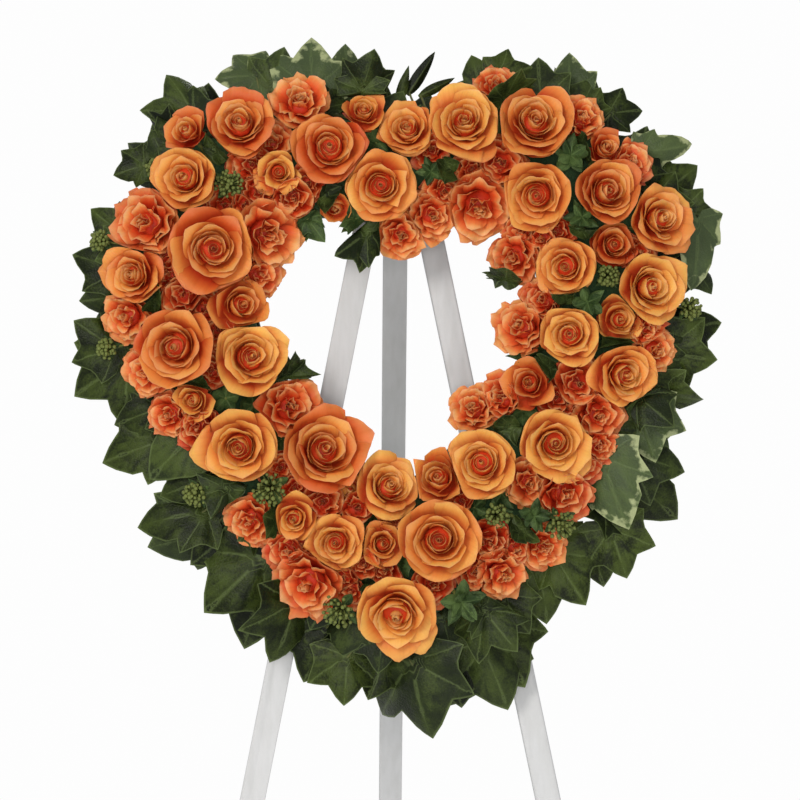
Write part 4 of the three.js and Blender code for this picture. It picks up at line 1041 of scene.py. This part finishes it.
def sprig_material(settings):
    # Dark and light sprigs, the hollow colour (painted shade between the veins, and random dark clouds),
    # the veins and the stalks
    colours = (settings.sprig_colour, settings.sprig_light, (0.012, 0.025, 0.007), (0.16, 0.24, 0.08),
               (0.16, 0.18, 0.045))
    return leaf_material("sprig_green", colours, (0.0,), False, 0.42)


def keep_material(name, make, *settings):
    return bpy.data.materials.get(name) or make(*settings)


# Settings, operators and panel

def colour_property(name, description, default):
    return bpy.props.FloatVectorProperty(name=name, description=description, default=default, size=3,
                                         subtype="COLOR", min=0.0, max=1.0)


def length_property(name, description, default):
    return bpy.props.FloatProperty(name=name, description=description, default=default, min=0.0001,
                                   max=0.004, subtype="DISTANCE", unit="LENGTH")


def seed_property(description, default):
    return bpy.props.IntProperty(name="Seed", description=description, default=default, min=0)


class WreathFlowers(bpy.types.PropertyGroup):
    open_colour: colour_property("Open petals", "Colour of the outer petals' faces", (0.93, 0.45, 0.095))
    middle_colour: colour_property("Middle petals", "Colour of the petals half way in", (0.93, 0.48, 0.090))
    heart_colour: colour_property("Heart petals", "Colour of the rolled petals", (0.92, 0.43, 0.085))
    foot_colour_and_shade: colour_property("Petal feet", "Colour low in each petal", (0.58, 0.026, 0.010))
    # Petal feet: partly the petals' own deeper colour, partly painted shade deep in the blooms
    rim_colour: colour_property("Petal rims", "Colour of the outer petals' rims", (0.72, 0.17, 0.075))
    # Heart rims: a painted highlight
    painted_rim_highlight: colour_property("Heart rims", "Colour of the rolled petals' rims", (0.95, 0.54, 0.22))
    ruffle_colour: colour_property("Ruffled petals", "Colour of the carnations", (0.78, 0.115, 0.026))
    # Ruffled feet: partly the carnations' own deeper red, partly painted shade
    ruffle_deep_and_shade: colour_property("Ruffled feet", "Colour low in the carnations", (0.32, 0.005, 0.003))
    ruffle_rim: colour_property("Ruffled rims", "Colour of the carnations' waved rims", (0.90, 0.33, 0.095))
    spread: bpy.props.FloatProperty(name="Spread", description="How far heads open past their own width",
                                    default=1.14, min=0.9, max=1.4)
    seed: seed_property("Seed of the petals' uneven growth", 11)


class WreathLeaves(bpy.types.PropertyGroup):
    ivy_colour: colour_property("Ivy", "Colour of the darkest ivy leaves", (0.005, 0.009, 0.0012))
    ivy_light: colour_property("Light ivy", "Colour of the lightest ivy leaves", (0.054, 0.077, 0.014))
    sprig_colour: colour_property("Sprigs", "Colour of the sprigs' darkest leaves", (0.030, 0.055, 0.015))
    sprig_light: colour_property("Light sprigs", "Colour of the sprigs' light leaves", (0.09, 0.14, 0.04))
    extra_leaves: bpy.props.IntProperty(name="Extra leaves", default=7, min=0, max=20,
                                        description="Smaller leaves between and behind, on each trail")
    seed: seed_property("Seed of the leaves' rolls and folds", 5)


class WreathEasel(bpy.types.PropertyGroup):
    edge_radius: length_property("Edge radius", "Rounding of the painted timber's edges", 0.0014)
    peg_edge: length_property("Peg edge", "Rounding of the pegs' ends", 0.0010)
    steel_edge: length_property("Steel edge", "Rounding of the bolt's and the nut's edges", 0.0004)


def leaf_cell(x, z, forward):
    """The room that a bunch of tucked leaves keeps between the heads."""
    return dict(kind="leaf", radius=LEAF_CELL_RADIUS, centre=np.array([x, -forward - LEAF_CELL_DEPTH, z]))


def all_heads():
    """Each bunch's heads by name, and all that press on one another: heads and the tucked leaves' rooms."""
    placed = {name: [place_head(*row) for row in rows] for name, rows in {**BLOOMS, **SPRIGS}.items()}
    rooms = [leaf_cell(x, z, forward) for x, z, _, _, forward in AMONG]
    return placed, [head for heads in placed.values() for head in heads] + rooms


def node_seed(name, seed):
    return np.random.default_rng([seed, *name.encode()])


class WREATH_OT_blooms(bpy.types.Operator):
    """Roses, spray roses and carnations, petal by petal, a piece for each bunch"""
    bl_idname = "wreath.blooms"
    bl_label = "Blooms"

    def execute(self, context):
        settings = context.scene.wreath_flowers
        placed, heads = all_heads()
        material = keep_material("petals", petal_material, settings)
        for name in BLOOMS:
            rng = node_seed(name, settings.seed)
            surface = Surface()
            for head in placed[name]:
                add_bloom(surface, head, heads, rng, settings.spread)
            slot = "carnation_petals" if name.startswith("carnation") else "rose_petals"
            surface.piece(name + "_petals", material, slot=slot, replaces=[name])
        return {"FINISHED"}


LOOSE, LOOSE_SHARE = ("rosette", "berries"), 1.35
MOST_FILLERS, LEAST_GAP, FILLER_OVERLAP, FILLER_SPREAD = 60, 1.5, 5, 1.25
GRID_STEP, GRID_OVER_EDGE = 6.0, 4
LEAFY_FORWARD = 60.0
# The three leaves of a tucked bunch: turn from the first, share of its length
BUNCH = ((0, 1.0), (2.2, 0.8), (-2.0, 0.75))


def gap_places(heads):
    """Places in the ring furthest from every head, found one after another on a fine grid: each new
    filler counts as a head for the next."""
    xs, zs = np.meshgrid(np.arange(-236, 237, GRID_STEP), np.arange(-214, 246, GRID_STEP))
    grid = np.stack([xs.ravel(), zs.ravel()], axis=1)
    grid = grid[(distance_outside(CAD_OUTER, grid) < GRID_OVER_EDGE)
                & (distance_outside(CAD_INNER, grid) > -GRID_OVER_EDGE)]
    centres = np.array([head["centre"][[0, 2]] for head in heads])
    radii = np.array([head["radius"] * (LOOSE_SHARE if head["kind"] in LOOSE else 1) for head in heads])
    found = []
    for _ in range(MOST_FILLERS):
        clear = np.min(np.linalg.norm(grid[:, None] - centres[None], axis=2) - radii, axis=1)
        best = int(np.argmax(clear))
        if clear[best] < LEAST_GAP:
            break
        found.append((grid[best], clear[best]))
        centres = np.concatenate([centres, grid[best:best + 1]])
        radii = np.append(radii, clear[best] + FILLER_OVERLAP)
    return found


class WREATH_OT_fillers(bpy.types.Operator):
    """Low ruffled heads and small leaves in the gaps between the blooms"""
    bl_idname = "wreath.fillers"
    bl_label = "Fillers"

    def execute(self, context):
        settings = context.scene.wreath_flowers
        _, heads = all_heads()
        rng = np.random.default_rng(settings.seed + 40)
        places = gap_places(heads)
        petals, leaves, tucked = Surface(), Surface(), Surface()
        leafy = [(x, z) for (x, z), _ in places[3::5]]
        low = [place_head("carnation", x, z, 2 * min(26, clear + 13), 3)
               for k, ((x, z), clear) in enumerate(places) if k % 5 != 3]
        rooms = heads + low + [leaf_cell(x, z, LEAFY_FORWARD) for x, z in leafy]
        for head in low:
            # The fillers take the lowest tints: painted shade for the low heads deep in the gaps.
            add_bloom(petals, head, rooms, rng, FILLER_SPREAD, tints=(0.0, 0.35))
        for k, (x, z) in enumerate(leafy):
            for turn in np.arange(5) / 5 * TURN + rng.uniform(0, 1):
                base = np.array([x, -LEAFY_FORWARD, z])
                reach = rng.uniform(16, 22)
                tip = base + (reach * math.cos(turn), -rng.uniform(8, 16), reach * math.sin(turn))
                add_leaf(leaves, "ivy" if k % 2 else "oval", base, tip, 12, rng.normal(0, 0.3), 0.1, rng,
                         cell=(rooms[len(heads) + len(low) + k], rooms))
            add_tube(leaves, [(x, -40, z), (x, -52, z), (x, -LEAFY_FORWARD - 1, z)], 1.2, 6)
        for room, (x, z, degrees, length, forward) in zip(heads[-len(AMONG):], AMONG):
            base = np.array([x, -forward, z], float)
            turn = math.radians(degrees)
            for swing, share in BUNCH:
                swing += turn + rng.normal(0, 0.25)
                reach = length * share
                tip = base + (reach * math.cos(swing), -rng.uniform(10, 18), reach * math.sin(swing))
                add_leaf(tucked, "ivy", base, tip, 10, rng.normal(0, 0.25), 0.1, rng, cell=(room, rooms))
            add_tube(tucked, [(x, -42, z), (x, -0.5 * (forward + 42), z), base + (0, 0.5, 0)], 1.0, 6)
        greens = context.scene.wreath_leaves
        petal = keep_material("petals", petal_material, settings)
        petals.piece("gap_ruffles", petal, slot="carnation_petals")
        leaves.piece("gap_leaves", keep_material("sprig_green", sprig_material, greens), slot="sprig_leaf")
        tucked.piece("tucked_ivy", keep_material("ivy_wax", ivy_material, greens), slot="ivy_leaf")
        return {"FINISHED"}


# The cup under a bloom: place along the axis and radius, as shares of its size
CUP = ((-1.5, 0.5), (-0.9, 1.1), (-0.3, 1.2), (0.15, 0.8))


def directions(head, count, rng):
    """Even directions round a head's axis, all turned by the same chance angle."""
    for turn in np.arange(count) / count * TURN + rng.uniform(0, 1):
        yield head["u"] * math.cos(turn) + head["w"] * math.sin(turn)


class WREATH_OT_stems(bpy.types.Operator):
    """Cut stems, the swollen cups under the blooms and their five sepals"""
    bl_idname = "wreath.stems"
    bl_label = "Stems"

    def execute(self, context):
        placed, _ = all_heads()
        rng = np.random.default_rng(3)
        surface = Surface()
        for name, heads in placed.items():
            for head in heads:
                cup = 0.17 * head["radius"]
                steps = np.linspace(0, 1, 5)[:, None]
                top = head["root"]
                add_tube(surface, top + (head["tip"] - top) * steps, STEM_RADIUS * 0.85, 7)
                if head["kind"] in LOOSE:
                    continue
                profile = [(at * cup, wide * cup) for at, wide in CUP]
                add_lathe(surface, profile, head["root"], head["axis"], 9, tone=(0.6, 0, 0.4))
                for out in directions(head, 5, rng):
                    start = head["root"] + 0.5 * cup * out - 0.3 * cup * head["axis"]
                    tip = start + out * 0.55 * head["radius"] - head["axis"] * 0.1 * head["radius"]
                    add_frond(surface, long_leaf(0.17, rng, (5, 6)), head, start, tip, 0, (0.6, 0, 0.3))
        material = keep_material("sprig_green", sprig_material, context.scene.wreath_leaves)
        surface.piece("cut_stems", material, slot="sprig_leaf")
        return {"FINISHED"}


class WREATH_OT_ivy(bpy.types.Operator):
    """Ivy trails round the heart's edge"""
    bl_idname = "wreath.ivy"
    bl_label = "Ivy"

    def execute(self, context):
        settings = context.scene.wreath_leaves
        material = keep_material("ivy_wax", ivy_material, settings)
        for name, leaves in IVY.items():
            surface = Surface()
            add_trail(surface, leaves, node_seed(name, settings.seed), settings.extra_leaves)
            surface.piece(name + "_leaves", material, slot="ivy_leaf", replaces=[name])
        surface, rng = Surface(), np.random.default_rng(settings.seed + 7)
        for row in IVY_BERRIES:
            head = place_head(*row)
            add_berries(surface, head, [], rng)
            add_tube(surface, np.linspace(head["root"], head["tip"], 5), 0.9, 6)
        material = keep_material("sprig_green", sprig_material, settings)
        surface.piece("ivy_berries", material, slot="sprig_leaf")
        return {"FINISHED"}


def add_rosette(surface, head, others, rng):
    """Two whorls of oval leaves round a stem's end, the lower one wider."""
    for count, reach, rise in ((5, 1.15, 0.55), (4, 0.75, 0.95)):
        for out in directions(head, count, rng):
            start = head["root"] + 0.35 * head["height"] * head["axis"]
            tip = start + out * reach * head["radius"] + head["axis"] * rise * head["height"]
            leaf = long_leaf(rng.uniform(0.24, 0.32), rng)
            roll = rng.normal(0, 0.2)
            add_frond(surface, leaf, head, start, tip, roll, (rng.uniform(0, 1), 0, 0), others)


BERRY_COUNT = 38


def add_berries(surface, head, others, rng):
    """Small round buds on short stalks over a dome, at the golden angle."""
    count = BERRY_COUNT
    k = np.arange(count) + 0.5
    polar = np.arccos(1 - 0.95 * k / count)
    azimuth = k * GOLDEN_ANGLE
    level = np.sin(polar)
    over = np.stack([level * np.cos(azimuth), level * np.sin(azimuth), np.cos(polar)], axis=1)
    size = 0.95 * head["radius"]
    middle = head["root"] + 0.35 * head["height"] * head["axis"]
    over = over * rng.choice((1.0, 0.9, 0.7), (count, 1), p=(0.5, 0.3, 0.2))
    places = middle + size * (over @ np.stack([head["u"], head["w"], head["axis"]]))
    places = places + rng.normal(0, 0.5, places.shape)
    tones = np.stack([rng.uniform(0, 1, count), np.zeros(count), np.full(count, 0.75)], axis=1)
    add_balls(surface, places, rng.uniform(1.3, 2.1, count), tones)
    for place in places:
        add_tube(surface, [head["root"], (head["root"] + place) / 2, place], 0.45, 4, tone=(0.5, 0, 0.8))
    for out in directions(head, 4, rng):
        tip = head["root"] + out * 1.25 * head["radius"] + head["axis"] * 0.35 * head["height"]
        add_frond(surface, long_leaf(0.24, rng), head, head["root"] + out, tip, rng.normal(0, 0.2),
                  (rng.uniform(0, 1), 0, 0), others)


class WREATH_OT_sprigs(bpy.types.Operator):
    """Leaf rosettes and bunches of small buds between the blooms"""
    bl_idname = "wreath.sprigs"
    bl_label = "Sprigs"

    def execute(self, context):
        settings = context.scene.wreath_leaves
        placed, heads = all_heads()
        material = keep_material("sprig_green", sprig_material, settings)
        for name in SPRIGS:
            rng = node_seed(name, settings.seed)
            surface = Surface()
            for head in placed[name]:
                add = add_rosette if head["kind"] == "rosette" else add_berries
                add(surface, head, heads, rng)
            surface.piece(name + "_leaves", material, slot="sprig_leaf", replaces=[name])
        return {"FINISHED"}


class WREATH_OT_base(bpy.types.Operator):
    """The heart of wet foam and its tray"""
    bl_idname = "wreath.base"
    bl_label = "Foam and tray"

    def execute(self, context):
        fine = tuple(6 * steps for steps in CAD_STEPS)
        foam = Surface()
        back = TRAY_BACK + TRAY_WALL + 0.3
        shoulder = FOAM_FRONT - FOAM_BEVEL
        arc = [(FOAM_BEVEL * (1 - math.cos(a)), shoulder + FOAM_BEVEL * math.sin(a))
               for a in np.linspace(0, math.pi / 2, 6)]
        outer = [(1, -inwards, forward) for inwards, forward in arc]
        inner = [(0, inwards, forward) for inwards, forward in arc[::-1]]
        add_heart_ring(foam, [(1, 0, back), *outer, *inner, (0, 0, back)], fine)
        material = keep_material("wet_foam", foam_material)
        foam.piece("foam_ring", material, slot="foam", replaces=["foam_heart"])
        tray = Surface()
        rim, floor = 0.3 + TRAY_WALL, TRAY_BACK + TRAY_WALL
        add_heart_ring(tray, [
            (1, rim - 1, TRAY_BACK), (1, rim, TRAY_BACK + 1), (1, rim, TRAY_DEPTH - 0.6),
            (1, rim - 0.6, TRAY_DEPTH), (1, 0.9, TRAY_DEPTH), (1, 0.3, TRAY_DEPTH - 0.6), (1, 0.3, floor),
            (0, -0.3, floor), (0, -0.3, TRAY_DEPTH - 0.6), (0, -0.9, TRAY_DEPTH),
            (0, -rim + 0.6, TRAY_DEPTH), (0, -rim, TRAY_DEPTH - 0.6), (0, -rim, TRAY_BACK + 1),
            (0, -rim + 1, TRAY_BACK)], fine)
        tray.piece("tray_ring", keep_material("tray_shell", tray_material), slot="tray_plastic",
                   replaces=["foam_tray"])
        return {"FINISHED"}


def add_eased(node, body, material, radius):
    """A copy of a CAD piece with its doubles merged, its flat faces whole again and its edges rounded."""
    shape = bmesh.new()
    shape.from_mesh(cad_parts[node].data)
    bmesh.ops.remove_doubles(shape, verts=shape.verts, dist=0.00002)
    bmesh.ops.dissolve_limit(shape, angle_limit=math.radians(1), verts=shape.verts, edges=shape.edges)
    mesh = bpy.data.meshes.new(node + "_eased")
    shape.to_mesh(mesh)
    shape.free()
    mesh.materials.clear()
    mesh.materials.append(material)
    mesh.polygons.foreach_set("use_smooth", np.ones(len(mesh.polygons), bool))
    piece = bpy.data.objects.new(mesh.name, mesh)
    bpy.context.scene.collection.objects.link(piece)
    bevel = piece.modifiers.new("eased edges", "BEVEL")
    bevel.width, bevel.segments, bevel.limit_method = radius, 3, "ANGLE"
    bevel.angle_limit, bevel.harden_normals = math.radians(28), True
    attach(piece, body)
    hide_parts(node)


class WREATH_OT_easel(bpy.types.Operator):
    """The painted legs, block and pegs with eased edges, and the plated hinge bolt and nut"""
    bl_idname = "wreath.easel"
    bl_label = "Easel"

    def execute(self, context):
        settings = context.scene.wreath_easel
        paint = keep_material("white_paint_film", paint_material)
        steel = keep_material("plated_steel", steel_material)
        for node in ("front_leg_left", "front_leg_right", "rear_leg", "top_block"):
            add_eased(node, REAR if node == "rear_leg" else STAND, paint, settings.edge_radius)
        for node in ("peg_left", "peg_right"):
            add_eased(node, STAND, paint, settings.peg_edge)
        for node in ("pivot_bolt", "wing_nut"):
            add_eased(node, STAND, steel, settings.steel_edge)
        return {"FINISHED"}


def aimed_object(name, data, place, aim):
    """A lamp or a camera that looks from its place towards its aim."""
    made = bpy.data.objects.new(name, data)
    made.location = place
    made.rotation_euler = (aim - place).to_track_quat("-Z", "Y").to_euler()
    bpy.context.scene.collection.objects.link(made)
    return made


class WREATH_OT_stage(bpy.types.Operator):
    """A pale floor, soft studio light and the camera"""
    bl_idname = "wreath.stage"
    bl_label = "Stage"

    def execute(self, context):
        scene = context.scene
        floor = bpy.data.meshes.new("floor")
        size, level = 2.6, -0.0005
        corners = [(-size, -size, level), (size, -size, level), (size, size, level), (-size, size, level)]
        floor.from_pydata(corners, [], [(0, 1, 2, 3)])
        pale, tree, shader = new_material("pale_floor", roughness=0.8)
        mask, normal = mottle(tree, 3, 60, 0.3, 0.05, 0.001)
        colour = ramp(tree, mask, [(0.2, (0.84, 0.84, 0.83)), (0.8, (0.88, 0.88, 0.87))])
        finish_skin(tree, shader, colour, normal)
        floor.materials.append(pale)
        ground = bpy.data.objects.new("floor", floor)
        scene.collection.objects.link(ground)

        world = scene.world or bpy.data.worlds.new("studio")
        scene.world = world
        world.use_nodes = True
        tree = world.node_tree
        tree.nodes.clear()
        seen = add_node(tree, "ShaderNodeBackground", {"Color": (1, 1, 1, 1), "Strength": 0.985})
        lit = add_node(tree, "ShaderNodeBackground", {"Color": (0.97, 0.98, 1.0, 1), "Strength": 0.52})
        path = tree.nodes.new("ShaderNodeLightPath")
        blend = tree.nodes.new("ShaderNodeMixShader")
        tree.links.new(path.outputs["Is Camera Ray"], blend.inputs[0])
        tree.links.new(lit.outputs[0], blend.inputs[1])
        tree.links.new(seen.outputs[0], blend.inputs[2])
        out = tree.nodes.new("ShaderNodeOutputWorld")
        tree.links.new(blend.outputs[0], out.inputs["Surface"])

        aim = Vector((0.0, float(HEART_CENTRE[1]), 1.17))
        for name, place, size, power, colour in (
            ("key", (-1.3, -2.9, 2.8), 1.0, 46, (1.0, 0.97, 0.92)),
            ("front", (-0.1, -3.6, 1.8), 0.8, 27, (1.0, 0.99, 0.97)),
            ("fill", (0.4, -3.0, 0.3), 1.2, 12, (1.0, 0.99, 0.97)),
            ("back", (0.6, 2.4, 2.6), 1.6, 40, (1.0, 1.0, 1.0)),
        ):
            lamp = bpy.data.lights.new(name, "AREA")
            lamp.shape, lamp.size, lamp.energy, lamp.color = "DISK", size, power, colour
            aimed_object(name, lamp, Vector(place), aim)

        azimuth, pitch, distance, field = math.radians(-1.6), math.radians(10), 3.4, 0.7105
        target = Vector((0.0015, float(HEART_CENTRE[1]), 1.1777))
        level = math.cos(pitch)
        back = Vector((math.sin(azimuth) * level, -math.cos(azimuth) * level, math.sin(pitch)))
        camera = bpy.data.cameras.new("camera")
        camera.sensor_width = 36.0
        camera.lens = camera.sensor_width * distance / field
        scene.camera = aimed_object("camera", camera, target + distance * back, target)
        scene.view_settings.view_transform = "Standard"
        return {"FINISHED"}


class WREATH_PT_panel(bpy.types.Panel):
    """Sizes, colours and steps of the wreath's looks"""
    bl_idname = "WREATH_PT_panel"
    bl_label = "Wreath"
    bl_space_type = "VIEW_3D"
    bl_region_type = "UI"
    bl_category = "Wreath"

    def draw(self, context):
        for group in (getattr(context.scene, name) for name in GROUPS):
            for name in group.bl_rna.properties.keys():
                if name not in ("rna_type", "name"):
                    self.layout.prop(group, name)
        for operator in STEPS:
            self.layout.operator(operator.bl_idname)


GROUPS = {"wreath_flowers": WreathFlowers, "wreath_leaves": WreathLeaves, "wreath_easel": WreathEasel}
STEPS = (WREATH_OT_stage, WREATH_OT_easel, WREATH_OT_base, WREATH_OT_stems, WREATH_OT_blooms,
         WREATH_OT_fillers, WREATH_OT_ivy, WREATH_OT_sprigs)


def register():
    for name, group in GROUPS.items():
        bpy.utils.register_class(group)
        setattr(bpy.types.Scene, name, bpy.props.PointerProperty(type=group))
    for step in STEPS:
        bpy.utils.register_class(step)
    bpy.utils.register_class(WREATH_PT_panel)


def unregister():
    bpy.utils.unregister_class(WREATH_PT_panel)
    for step in reversed(STEPS):
        bpy.utils.unregister_class(step)
    for name, group in GROUPS.items():
        delattr(bpy.types.Scene, name)
        bpy.utils.unregister_class(group)


def main():
    register()
    for step in STEPS:
        group, name = step.bl_idname.split(".")
        if getattr(getattr(bpy.ops, group), name)() != {"FINISHED"}:
            raise RuntimeError(f"{step.bl_label} could not finish")


if __name__ == "__main__":
    main()
